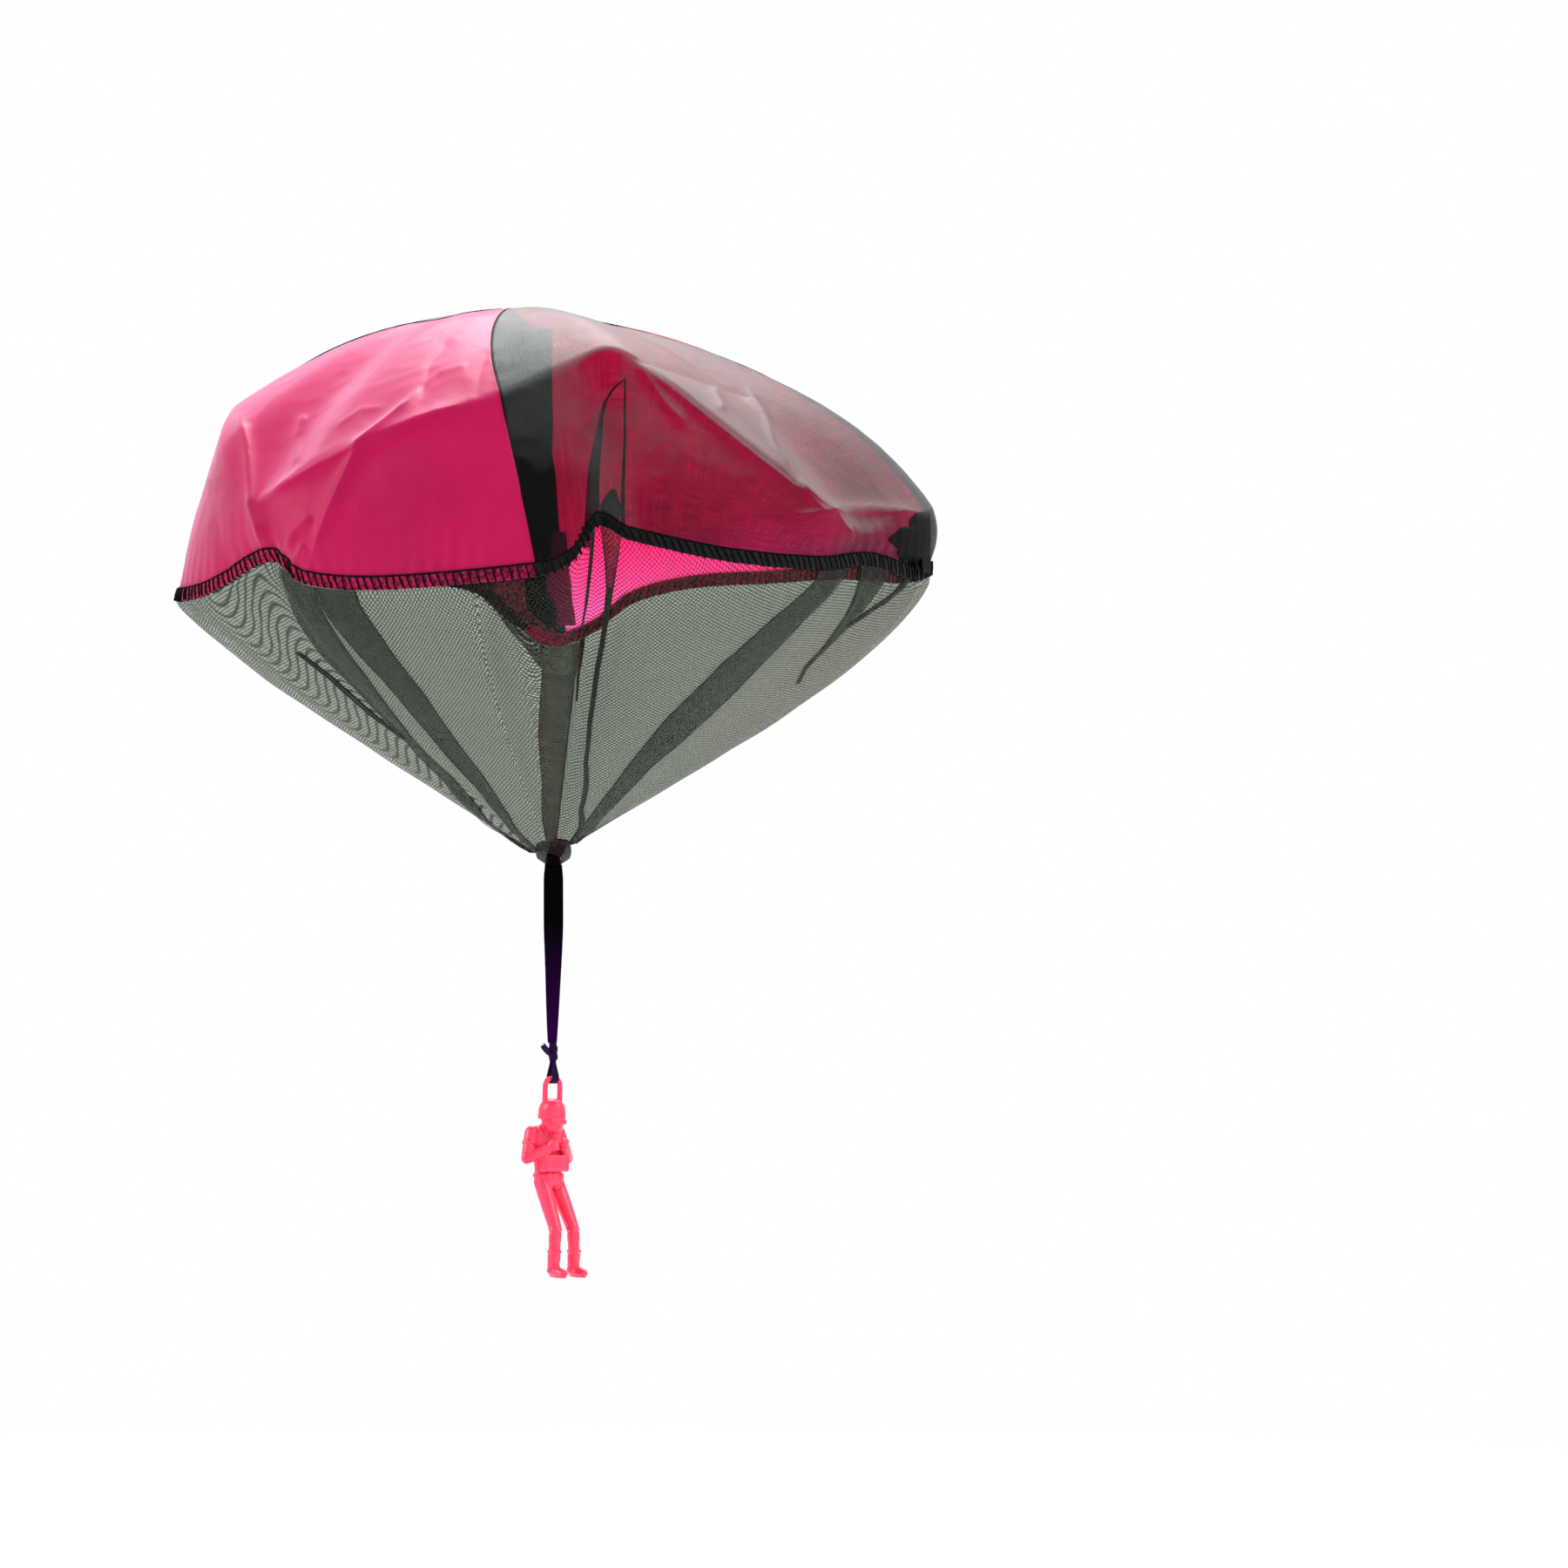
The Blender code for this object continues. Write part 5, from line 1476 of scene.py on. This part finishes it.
# The folded end shows the ribbon's matt back, so it looks a little paler
matt_satin = noisy_satin("black_satin_ribbon_back", 0.0007, "#120C0F", "#2B2024", 0.0001, 0.6, 0.7)
tab = grid_sheet("sewn_tab", grid, uv, tab_wall, 1.0, matt_satin)
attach(tab, "canopy")
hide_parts("ribbon_tab")

# %% [markdown]
# The knot is an overhand knot in the folded ribbon: two bands wrap round a core and cross in front.
# A voxel remesh joins them into one skin, with the valleys between the wraps left in.

# %% Overhand knot
knot_voxel = 0.00016
knot_middle = knot_top - knot_height / 2


def ring_points(count):
    """Even turns round a full circle, in radians."""
    return [math.tau * i / count for i in range(count)]


def sweep(shape, centres, widths, thicks, sides, closed, up):
    """Adds a band along centres to a bmesh. Its wide side leans on the up vector."""
    rings = []
    count = len(centres)
    for i, centre in enumerate(centres):
        before = centres[i - 1] if closed or i else centre
        after = centres[(i + 1) % count] if closed or i + 1 < count else centre
        along = (after - before).normalized()
        flat = (up - along * up.dot(along)).normalized()
        thin = along.cross(flat)
        rings.append([
            shape.verts.new(centre + flat * (widths[i] * math.cos(t)) + thin * (thicks[i] * math.sin(t)))
            for t in ring_points(sides)
        ])
    skin_rings(shape, rings, closed)


def remeshed(name, shape, voxel, smooth_steps, material):
    """One skin over everything in a bmesh, as a plain mesh."""
    bmesh.ops.recalc_face_normals(shape, faces=shape.faces)
    mesh = bpy.data.meshes.new(name)
    shape.to_mesh(mesh)
    shape.free()
    thing = link(name, mesh, material)
    skin = thing.modifiers.new("skin", "REMESH")
    skin.mode = "VOXEL"
    skin.voxel_size = voxel
    even = thing.modifiers.new("even", "SMOOTH")
    even.iterations = smooth_steps
    even.factor = 0.5
    make_plain(thing)
    thing.data.materials.clear()
    thing.data.materials.append(material)
    thing.data.shade_smooth()
    return thing


# Pulled tight, the folded ribbon's pleats run across the knot
tight_satin = noisy_satin("knotted_satin_ribbon", 0.0009, "#12041F", "#270A42", 0.0003, 0.5, 0.5)
shape = bmesh.new()
core_up = knot_height + 0.0011
core = [Vector((0, 0, knot_middle + core_up * (0.5 - i / 12))) for i in range(13)]
# Share of the way down the core, then its half width
core_shares = ((0, 0.0019), (0.2, 0.0020), (0.45, 0.0021), (0.7, 0.0022), (0.9, 0.0018), (1, 0.00165))
core_widths = np.interp(np.linspace(0, 1, 13), *zip(*core_shares))
sweep(shape, core, core_widths, core_widths * 0.8, 20, False, Vector((1, 0, 0)))
for tilt, lift_by, wide in ((0.50, 0.0005, 0.0017), (-0.58, -0.0012, 0.0016)):
    band = [
        Vector((
            0.00205 * math.cos(t), 0.00175 * math.sin(t), knot_middle + lift_by + 0.0021 * tilt * math.cos(t),
        ))
        for t in ring_points(36)
    ]
    sweep(shape, band, [wide] * 36, [0.00046] * 36, 12, True, Vector((0, 0, 1)))
strand = [Vector((-0.0019, -0.0012, knot_middle + 0.0024)), Vector((-0.0011, -0.0022, knot_middle + 0.0012)),
          Vector((0.0003, -0.0025, knot_middle - 0.0002)), Vector((0.0016, -0.0018, knot_middle - 0.0018))]
sweep(shape, strand, [0.0013] * 4, [0.00045] * 4, 12, False, Vector((0.3, 0, 1)))
knot = remeshed("overhand_knot", shape, knot_voxel, 3, tight_satin)
print("knot:", len(knot.data.polygons) * 2, "triangles")
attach(knot, "knot")
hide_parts("ribbon_knot")

# %% [markdown]
# The cut end of the ribbon stands out at the upper left of the knot and has begun to fray.

# %% Cut tail
tail_length = 0.0056
tail_half_width = 0.0020
tail_cut = 0.0009
tail_rows = 22
tail_columns = 13
tail_turn = math.radians(50.0)
tail_away = Vector((-math.cos(tail_turn), -math.sin(tail_turn), 0))
tail_across = tail_away.cross(Vector((0, 0, 1)))
tail_lean = Vector((-0.50, -0.15, 1)).normalized()
tail_root = tail_away * 0.0030 + Vector((0, 0, knot_top - knot_height * 0.66))

# Share of the tail's length from the knot, then its half width as a share of its own
tail_shares = ((0.0, 0.55), (0.3, 0.92), (0.7, 1.0), (1.0, 0.86))
at = np.linspace(1, 0, tail_rows)
across = np.linspace(-1, 1, tail_columns)
half = np.interp(at, *zip(*tail_shares)) * tail_half_width
grid = np.zeros((tail_rows, tail_columns, 3))
for i, share in enumerate(at):
    centre = tail_root + tail_lean * (tail_length * share) + tail_away * (0.0007 * share * share)
    for j, v in enumerate(across):
        slant = tail_lean * (-v * tail_cut * share)
        cup = tail_away * (0.0004 * v * v + 0.0002 * math.sin(v * 4 + share * 5))
        grid[i, j] = centre + tail_across * (v * half[i]) + slant + cup
uv = np.stack(np.meshgrid(across * tail_half_width, at * tail_length), axis=2)
tail = grid_sheet("cut_tail", grid, uv, ribbon_wall, 0.0, tight_satin)
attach(tail, "knot")
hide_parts("ribbon_tail")
for i, spread in enumerate((-0.8, -0.35, 0.1, 0.5, 0.85)):
    edge = Vector(grid[0, round(tail_columns // 2 * (1 + spread))])
    hair = [edge - tail_lean * 0.0006, edge + tail_lean * 0.0005 + tail_across * (spread * 0.0002),
            edge + tail_lean * (0.0011 - 0.0004 * abs(spread)) + tail_across * (spread * 0.0005)]
    yarn = thread_tube(f"frayed_yarn_{i}", hair, 0.00006, 6, tight_satin)
    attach(yarn, "knot")

# %% [markdown]
# Below the knot the ribbon makes an eye round the bar of the skydiver's ring.

# %% Eye of the ribbon
figure_turn = 40.0
bar_height = -0.3888
bar_radius = 0.00135
eye_gap = 0.0005
eye_wall = 0.0008
eye_half_width = 0.0020
eye_columns = 15
bar_left = Vector((math.cos(math.radians(figure_turn)), math.sin(math.radians(figure_turn)), 0))
bar_front = Vector((math.sin(math.radians(figure_turn)), -math.cos(math.radians(figure_turn)), 0))

bar = Vector((0, 0, bar_height))
eye_radius = bar_radius + eye_gap + eye_wall / 2
neck_up = knot_top - knot_height - 0.0003 - bar_height
outline = [
    (-0.0009, neck_up + 0.0008), (-0.0012, neck_up * 0.84), (-0.0017, neck_up * 0.52),
    (-eye_radius, neck_up * 0.20),
]
under_bar = np.radians(np.linspace(180, 360, 19))
outline += [(eye_radius * math.cos(t), eye_radius * math.sin(t)) for t in under_bar]
outline += [(-x, z) for x, z in reversed(outline[:4])]
across = np.linspace(-1, 1, eye_columns)
grid = np.zeros((len(outline), eye_columns, 3))
for i, (x, z) in enumerate(outline):
    narrow = np.interp(z, (0, neck_up), (1.0, 0.50))
    for j, v in enumerate(across):
        pleat = 0.00018 * math.sin(v * 7.0) * min(max(z / neck_up, 0), 1)
        aside = bar_left * (v * eye_half_width * narrow)
        grid[i, j] = bar + aside + bar_front * (x + pleat) + Vector((0, 0, z))
uv = np.stack(np.meshgrid(across * eye_half_width, distances(grid[:, eye_columns // 2])), axis=2)
eye = grid_sheet("ribbon_eye_band", grid, uv, eye_wall, 0.0, tight_satin)
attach(eye, "knot")
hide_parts("ribbon_eye")

# %% [markdown]
# The skydiver is one soft plastic moulding: a ring, a helmet with goggles, a harness, a chest pack, a
# belt and boots. It is built from round limbs and bevelled blocks about the ring's bar. A voxel remesh
# joins them into one skin, as the mould did, and small lines are then pressed into it or raised on
# it. The face is a plain mask under the goggles.

# %% Forms of the skydiver
figure_lean = 1.9
ring_outer_width = 0.0123
ring_bar_diameter = 0.0027
ring_height = 0.0115
head_width = 0.0132
head_height = 0.0177
head_depth = 0.0146
shoulder_width = 0.0246
torso_width = 0.0178
torso_depth = 0.0116
torso_height = 0.0250
belt_height = 0.0024
pack_width = 0.0164
pack_height = 0.0085
pack_depth = 0.0046
elbow_span = 0.0320
upper_arm_radius = 0.0037
forearm_radius = 0.0026
hand_radius = 0.0029
leg_length = 0.0370
thigh_radius = 0.0042
knee_radius = 0.0032
ankle_radius = 0.0028
boot_radius = 0.0035
boot_height = 0.0134
foot_length = 0.0142
foot_height = 0.0050
foot_width = 0.0056
feet_apart = 0.0130
knee_forward = 0.0118
strap_width = 0.0022
strap_rise = 0.0007
overrun = 0.0010
limb_sides = 28
figure_voxel = 0.00030

# Share of the head's height from the crown, half-width, half-depth, shift forward
head_shares = (
    (0.00, 0.26, 0.28, 0.00), (0.04, 0.52, 0.54, 0.00), (0.13, 0.80, 0.82, 0.00), (0.28, 0.96, 0.97, 0.00),
    (0.44, 1.00, 1.00, 0.00), (0.56, 0.97, 0.98, 0.00), (0.60, 0.84, 0.84, 0.03), (0.72, 0.79, 0.80, 0.05),
    (0.86, 0.66, 0.68, 0.08), (0.96, 0.46, 0.48, 0.11), (1.00, 0.26, 0.28, 0.12),
)
torso_shares = (
    (-0.06, 0.60, 0.60, -0.46), (0.03, 0.94, 0.86, -0.44), (0.18, 1.03, 1.00, -0.40),
    (0.40, 1.00, 1.00, -0.34), (0.66, 0.90, 0.92, -0.26), (0.88, 0.86, 0.88, -0.18),
    (1.00, 0.92, 0.92, -0.14), (1.14, 0.90, 0.90, -0.08), (1.24, 0.56, 0.60, -0.02),
)
crown = ring_bar_diameter / 2 - ring_height
shoulders = crown - head_height * 0.86
belt = shoulders - torso_height * 0.94
knees = belt - leg_length * 0.71
sole = belt - leg_length - boot_height
back = torso_shares[1][3] * torso_depth


def oval(shape, centre, side, front, half_width, half_depth, sides=limb_sides):
    """A ring of vertices round a centre."""
    return [
        shape.verts.new(centre + side * (half_width * math.cos(t)) + front * (half_depth * math.sin(t)))
        for t in ring_points(sides)
    ]


def smooth_table(rows, count):
    """Values of a table at even steps on a curve through its rows."""
    rows = np.array(rows, float)
    at = np.linspace(rows[0, 0], rows[-1, 0], count)
    slopes = np.gradient(rows, rows[:, 0], axis=0)
    low = np.clip(np.searchsorted(rows[:, 0], at, side="right") - 1, 0, len(rows) - 2)
    step = (rows[low + 1, 0] - rows[low, 0])[:, None]
    return between((at - rows[low, 0])[:, None] / step, step, rows, slopes, low, low + 1)


# The figure's own directions
to_left = Vector((1, 0, 0))
to_back = Vector((0, 1, 0))
to_front = Vector((0, -1, 0))


def stack(shape, shares, top, height, half_width, half_depth, depth):
    """A solid of level oval rings down a table of shares."""
    rings = []
    for down, wide, deep, forward in smooth_table(shares, 40):
        centre = Vector((0, -forward * depth, top - height * down))
        rings.append(oval(shape, centre, to_left, to_front, half_width * wide, half_depth * deep))
    skin_rings(shape, rings)


def limb(shape, points, radii, flatten=1.0, across=Vector((1, 0, 0))):
    """A round-ended limb along points, with a radius at each and a depth of flatten times it."""
    rings = []
    last = len(points) - 1
    for i, (point, radius) in enumerate(zip(points, radii)):
        along = (points[min(i + 1, last)] - points[max(i - 1, 0)]).normalized()
        front = along.cross(across).normalized()
        side = front.cross(along).normalized()
        caps = [(0.0, 1.0)]
        if i == 0:
            caps = [(-0.98, 0.20), (-0.86, 0.51), (-0.62, 0.78), (-0.32, 0.95), (0.0, 1.0)]
        if i == last:
            caps = [(0.0, 1.0), (0.32, 0.95), (0.62, 0.78), (0.86, 0.51), (0.98, 0.20)]
        for shift, scale in caps:
            centre = point + along * (shift * radius * min(flatten, 1.0))
            rings.append(oval(shape, centre, side, front, radius * scale, radius * scale * flatten))
    skin_rings(shape, rings)


def block(shape, centre, half_sizes, chamfer):
    """A box with rounded edges."""
    made = bmesh.ops.create_cube(shape, size=2.0)["verts"]
    bmesh.ops.scale(shape, vec=half_sizes, verts=made)
    bmesh.ops.translate(shape, vec=centre, verts=made)
    edges = list({edge for vert in made for edge in vert.link_edges})
    bmesh.ops.bevel(shape, geom=edges, offset=chamfer, segments=3, profile=0.5, affect="EDGES")


def cuff(shape, centre, along, radius, half_height, rise):
    """A raised round band round a limb."""
    along = along.normalized()
    side = along.orthogonal().normalized()
    front = along.cross(side)
    rings = []
    for shift, grow in ((-1.0, -0.3), (-0.7, 1.0), (0.7, 1.0), (1.0, -0.3)):
        half = radius + rise * grow
        rings.append(oval(shape, centre + along * (half_height * shift), side, front, half, half))
    skin_rings(shape, rings)


def make_ring(shape):
    """The closed U-shaped ring on the helmet."""
    reach = (ring_outer_width - ring_bar_diameter) / 2
    squareness = 2 / 2.6
    points = [Vector((-reach, 0, crown - head_height * 0.20))]
    for turn in np.linspace(math.pi, 0, 37):
        wide, high = math.cos(turn), math.sin(turn)
        across = math.copysign(reach * abs(wide) ** squareness, wide)
        points.append(Vector((across, 0, reach * (max(high, 0) ** squareness - 1))))
    points.append(Vector((reach, 0, crown - head_height * 0.20)))
    half = ring_bar_diameter / 2
    sweep(shape, points, [half] * len(points), [half] * len(points), limb_sides, False, Vector((0, 1, 0)))


def make_head(shape):
    """Helmet with a rim, goggles, and a plain mask with a chin strap."""
    stack(shape, head_shares, crown, head_height, head_width / 2, head_depth / 2, head_depth)
    rim = crown - head_height * 0.55
    rings = []
    for shift, grow in ((0.0007, -0.0004), (0.0004, 0.0002), (-0.0003, 0.0003), (-0.0007, -0.0004)):
        half_width, half_depth = head_width * 0.485 + grow, head_depth * 0.49 + grow
        rings.append(oval(shape, Vector((0, 0, rim + shift)), to_left, to_back, half_width, half_depth))
    skin_rings(shape, rings)
    for sign in (-1, 1):
        block(shape, Vector((sign * 0.00215, -head_depth * 0.405, crown - head_height * 0.66)),
              (0.0020, 0.0011, 0.00125), 0.0006)
        block(shape, Vector((sign * head_width * 0.415, -0.0006, crown - head_height * 0.66)),
              (0.0007, 0.0013, 0.0021), 0.0005)
    mouth = Vector((0, -head_depth * 0.425, crown - head_height * 0.795))
    block(shape, mouth, (0.0012, 0.0010, 0.0008), 0.0005)
    limb(shape, [Vector((0, -back, shoulders - overrun)), Vector((0, 0, crown - head_height * 0.7))],
         [head_width * 0.30, head_width * 0.26])
    collar = Vector((0, -back * 0.9, shoulders + 0.0006))
    cuff(shape, collar, Vector((0, 0.15, 1)), head_width * 0.32, 0.0008, 0.0004)


def make_arm(shape, sign):
    """An arm bent across the chest, with its cuffs and fist."""
    chest = shoulders - belt
    shoulder_out = shoulder_width / 2 - upper_arm_radius
    shoulder = Vector((sign * shoulder_out, -back, shoulders - upper_arm_radius * 0.6))
    elbow = Vector((sign * (elbow_span / 2 - forearm_radius), -back * 0.55, shoulders - chest * 0.64))
    wrist = Vector((sign * hand_radius * 1.7, -(torso_depth * 0.42), shoulders - chest * 0.40))
    fist = Vector((sign * hand_radius * 1.02, -(torso_depth * 0.50), shoulders - chest * 0.34))
    limb(shape, [shoulder, shoulder.lerp(elbow, 0.5), elbow],
         [upper_arm_radius, upper_arm_radius * 0.92, forearm_radius * 1.08], across=Vector((0, 1, 0)))
    cuff(shape, shoulder.lerp(elbow, 0.42), elbow - shoulder, upper_arm_radius * 0.98, 0.0009, 0.00035)
    limb(shape, [elbow, elbow.lerp(wrist, 0.45), wrist],
         [forearm_radius * 1.08, forearm_radius * 1.05, forearm_radius * 0.82], across=Vector((0, 0, 1)))
    cuff(shape, elbow.lerp(wrist, 0.86), wrist - elbow, forearm_radius * 0.86, 0.0007, 0.0003)
    limb(shape, [wrist.lerp(fist, 0.3), fist + Vector((0, 0, hand_radius * 0.35))],
         [hand_radius * 0.86, hand_radius * 0.92], across=Vector((0, 1, 0)))
    for finger in range(4):
        knuckle = fist + Vector((-sign * 0.0012, -hand_radius * 0.52, 0.0019 - finger * 0.00125))
        limb(shape, [knuckle, knuckle + Vector((sign * 0.0022, -0.0003, 0))], [0.00072, 0.00072],
             across=Vector((0, 0, 1)))
    return shoulder, elbow, wrist


def make_leg(shape, sign):
    """A leg bent forward at the knee, with its boot."""
    hip = Vector((sign * torso_width * 0.25, torso_depth * 0.10, belt - thigh_radius * 0.75))
    knee = Vector((sign * feet_apart * 0.44, -knee_forward, knees))
    boot_top = Vector((sign * feet_apart / 2, -knee_forward * 1.03, sole + boot_height))
    heel = Vector((sign * feet_apart / 2, -knee_forward * 1.00, sole + foot_height * 0.5))
    limb(shape, [hip, hip.lerp(knee, 0.5), knee],
         [thigh_radius, (thigh_radius + knee_radius) * 0.53, knee_radius])
    limb(shape, [knee, knee.lerp(boot_top, 0.45), boot_top - Vector((0, 0, overrun))],
         [knee_radius, knee_radius * 0.98, ankle_radius])
    rings = []
    for share, radius in ((-0.02, 0.92), (0.0, 1.05), (0.07, 1.06), (0.10, 0.98), (0.30, 0.93), (0.60, 0.88),
                          (1.0, 0.95)):
        half = boot_radius * radius
        rings.append(oval(shape, boot_top.lerp(heel, share), to_left, to_back, half, half))
    skin_rings(shape, rings)
    toe = heel + Vector((0, -(foot_length - boot_radius * 1.9), -foot_height * 0.08))
    limb(shape, [heel, heel.lerp(toe, 0.62), toe], [foot_width * 0.48, foot_width * 0.54, foot_width * 0.44],
         flatten=foot_height / foot_width * 1.12)
    return hip, knee, boot_top, heel, toe


def make_trunk(shape):
    """Torso, harness, chest pack and belt."""
    stack(shape, torso_shares, shoulders, shoulders - belt, torso_width / 2, torso_depth / 2, torso_depth)
    pack_at = Vector((0, pack_depth * 0.62 - torso_depth * 0.5, belt + pack_height * 0.75))
    block(shape, pack_at, (pack_width / 2, pack_depth / 2, pack_height / 2), pack_depth * 0.18)
    rings = []
    for height, grow in ((0.5, 0.0), (0.36, 1.0), (-0.36, 1.0), (-0.5, 0.0)):
        centre = Vector((0, torso_depth * 0.15, belt + belt_height * height))
        half_width = torso_width * 0.455 + strap_rise * grow
        half_depth = torso_depth * 0.455 + strap_rise * grow
        rings.append(oval(shape, centre, to_left, to_back, half_width, half_depth))
    skin_rings(shape, rings)
    for across in (-0.0042, 0.0, 0.0042):
        buckle = Vector((across, torso_depth * -0.325, belt))
        block(shape, buckle, (0.0010, 0.0008, belt_height * 0.62), 0.0004)
    for sign in (-1, 1):
        over = Vector((sign * torso_width * 0.34, -back - torso_depth * 0.275, shoulders))
        chest = Vector((0, -back - torso_depth * 0.42, shoulders - (shoulders - belt) * 0.44))
        rise = strap_width / 2
        bent = over.lerp(chest, 0.5) + Vector((0, -strap_rise, 0))
        limb(shape, [over, bent, chest], [rise] * 3, flatten=0.8)
        behind = Vector((sign * torso_width * 0.30, -back + torso_depth * 0.36, shoulders - 0.0010))
        waist = Vector((sign * torso_width * 0.12, torso_depth * 0.66, belt + 0.0030))
        bent = behind.lerp(waist, 0.5) + Vector((0, 0.0005, 0))
        limb(shape, [behind, bent, waist], [rise * 0.9] * 3, flatten=0.6)


shape = bmesh.new()
make_ring(shape)
make_head(shape)
make_trunk(shape)
limb_points = {sign: (make_arm(shape, sign), make_leg(shape, sign)) for sign in (-1, 1)}


# %% [markdown]
# The plastic is soft PVC, dyed coral pink. It scatters light a little way in, so its shadows stay warm
# and red, and its gloss is uneven where the mould was worn.

# %% Moulded skydiver
def soft_plastic():
    """Dyed soft PVC: warm shadows, a wide gloss and the fine grain of a worn steel mould."""
    material, tree, out = new_material("coral_pink_soft_pvc")
    patches = cloth_noise(tree, 0.006, 2.0)
    plastic = add(tree, "ShaderNodeBsdfPrincipled", {
        "Base Color": two_tone(tree, patches, "#F22E58", "#F93C66", 0.35, 0.65),
        "Roughness": map_range(tree, patches, (0.0, 1.0), (0.34, 0.46)), "IOR": 1.5,
        "Normal": relief(tree, cloth_noise(tree, 0.0005), 0.00004, 0.5),
        "Subsurface Weight": 0.25, "Subsurface Scale": 0.0015, "Subsurface Radius": (1.0, 0.25, 0.25),
    })
    return dressed(material, tree, out, plastic)


# Lines on the front or the back: height, width, then places across and up
front_lines = (
    (-0.00030, 0.00032, ((-0.0070, belt + pack_height * 1.14), (0.0070, belt + pack_height * 1.14),
                         (0.0070, belt + pack_height * 0.36), (-0.0070, belt + pack_height * 0.36),
                         (-0.0070, belt + pack_height * 1.14))),
    (-0.00028, 0.00035, ((-0.0072, belt - 0.0016), (0, belt - 0.0085), (0.0072, belt - 0.0016))),
    (-0.00025, 0.00030, ((0, belt - 0.0014), (0, belt - 0.0080))),
    (-0.00022, 0.00030, ((-0.0024, crown - head_height * 0.875), (0.0024, crown - head_height * 0.875))),
    (-0.00022, 0.00028, ((0, shoulders - 0.0012), (0, shoulders - 0.0080))),
)
back_lines = (
    (-0.00025, 0.00032, ((0, crown - 0.0006), (0, crown - head_height * 0.50))),
    (0.00030, 0.00080, ((-0.0060, belt + 0.0085), (0.0060, belt + 0.0085))),
    (-0.00025, 0.00030, ((0, belt - 0.0020), (0, belt - 0.0105))),
)
# Lines round a limb: height, width, reach, centre, direction
round_lines = []
for sign, (arm, leg) in limb_points.items():
    shoulder, elbow, wrist = arm
    hip, knee, boot_top, heel, toe = leg
    for lift_by, width, reach, centre, along in (
        (-0.00028, 0.00035, 0.0050, shoulder.lerp(elbow, 0.50), elbow - shoulder),
        (-0.00022, 0.00032, 0.0034, elbow.lerp(shoulder, 0.10), elbow - shoulder),
        (-0.00020, 0.00030, 0.0030, elbow.lerp(wrist, 0.20), wrist - elbow + Vector((0, 0, 0.004))),
        (-0.00026, 0.00034, 0.0044, knee - Vector((0, 0, 0.0016)), Vector((0, 0.25, 1))),
        (-0.00018, 0.00030, 0.0044, knee + Vector((0, 0, 0.0012)), Vector((0, -0.20, 1))),
        (0.00025, 0.00060, 0.0044, knee - Vector((0, 0, 0.0004)), Vector((0, 0, 1))),
        (-0.00018, 0.00032, 0.0040, boot_top + Vector((0, 0, 0.0034)), Vector((0.1 * sign, 0.2, 1))),
        (-0.00030, 0.00034, 0.0052, boot_top - Vector((0, 0, 0.0016)), Vector((0, 0, 1))),
        (-0.00022, 0.00034, 0.0046, heel + Vector((0, 0, 0.0034)), Vector((0, 0.5, 1))),
        (-0.00026, 0.00030, 0.0110, Vector((toe.x, -0.0150, sole + 0.0011)), Vector((0, 0, 1))),
    ):
        round_lines.append((lift_by, width, reach, centre, along.normalized()))


def press_lines(mesh):
    """Moves a mesh's points along their normals where the mould's small lines are."""
    count = len(mesh.vertices)
    points = np.empty(count * 3)
    normals = np.empty(count * 3)
    mesh.vertices.foreach_get("co", points)
    mesh.vertices.foreach_get("normal", normals)
    points, normals = points.reshape(-1, 3), normals.reshape(-1, 3)
    total = np.zeros(count)
    flat = points[:, (0, 2)]
    for lines, facing in ((front_lines, -normals[:, 1]), (back_lines, normals[:, 1])):
        for height, width, line in lines:
            gap = from_line(flat, line)[0]
            total += height * np.exp(-((gap / width) ** 2)) * np.clip(facing * 2, 0, 1)
    for height, width, reach, centre, along in round_lines:
        off = points - np.array(centre)
        gap = np.abs(off @ np.array(along))
        near = np.clip((reach - np.linalg.norm(off, axis=1)) / 0.0008, 0, 1)
        total += height * np.exp(-((gap / width) ** 2)) * near
    points = points + normals * total[:, None]
    points[:, 2] = np.maximum(points[:, 2], sole)
    mesh.vertices.foreach_set("co", points.ravel())


pvc = soft_plastic()
skydiver = remeshed("moulded_skydiver", shape, figure_voxel, 3, pvc)
press_lines(skydiver.data)
turn = Matrix.Rotation(math.radians(figure_turn), 4, "Z") @ Matrix.Rotation(math.radians(figure_lean), 4, "X")
skydiver.data.transform(Matrix.Translation((0, 0, bar_height)) @ turn)
skydiver.data.update()
print("skydiver:", len(skydiver.data.polygons) * 2, "triangles")
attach(skydiver, "skydiver")
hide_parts("skydiver")
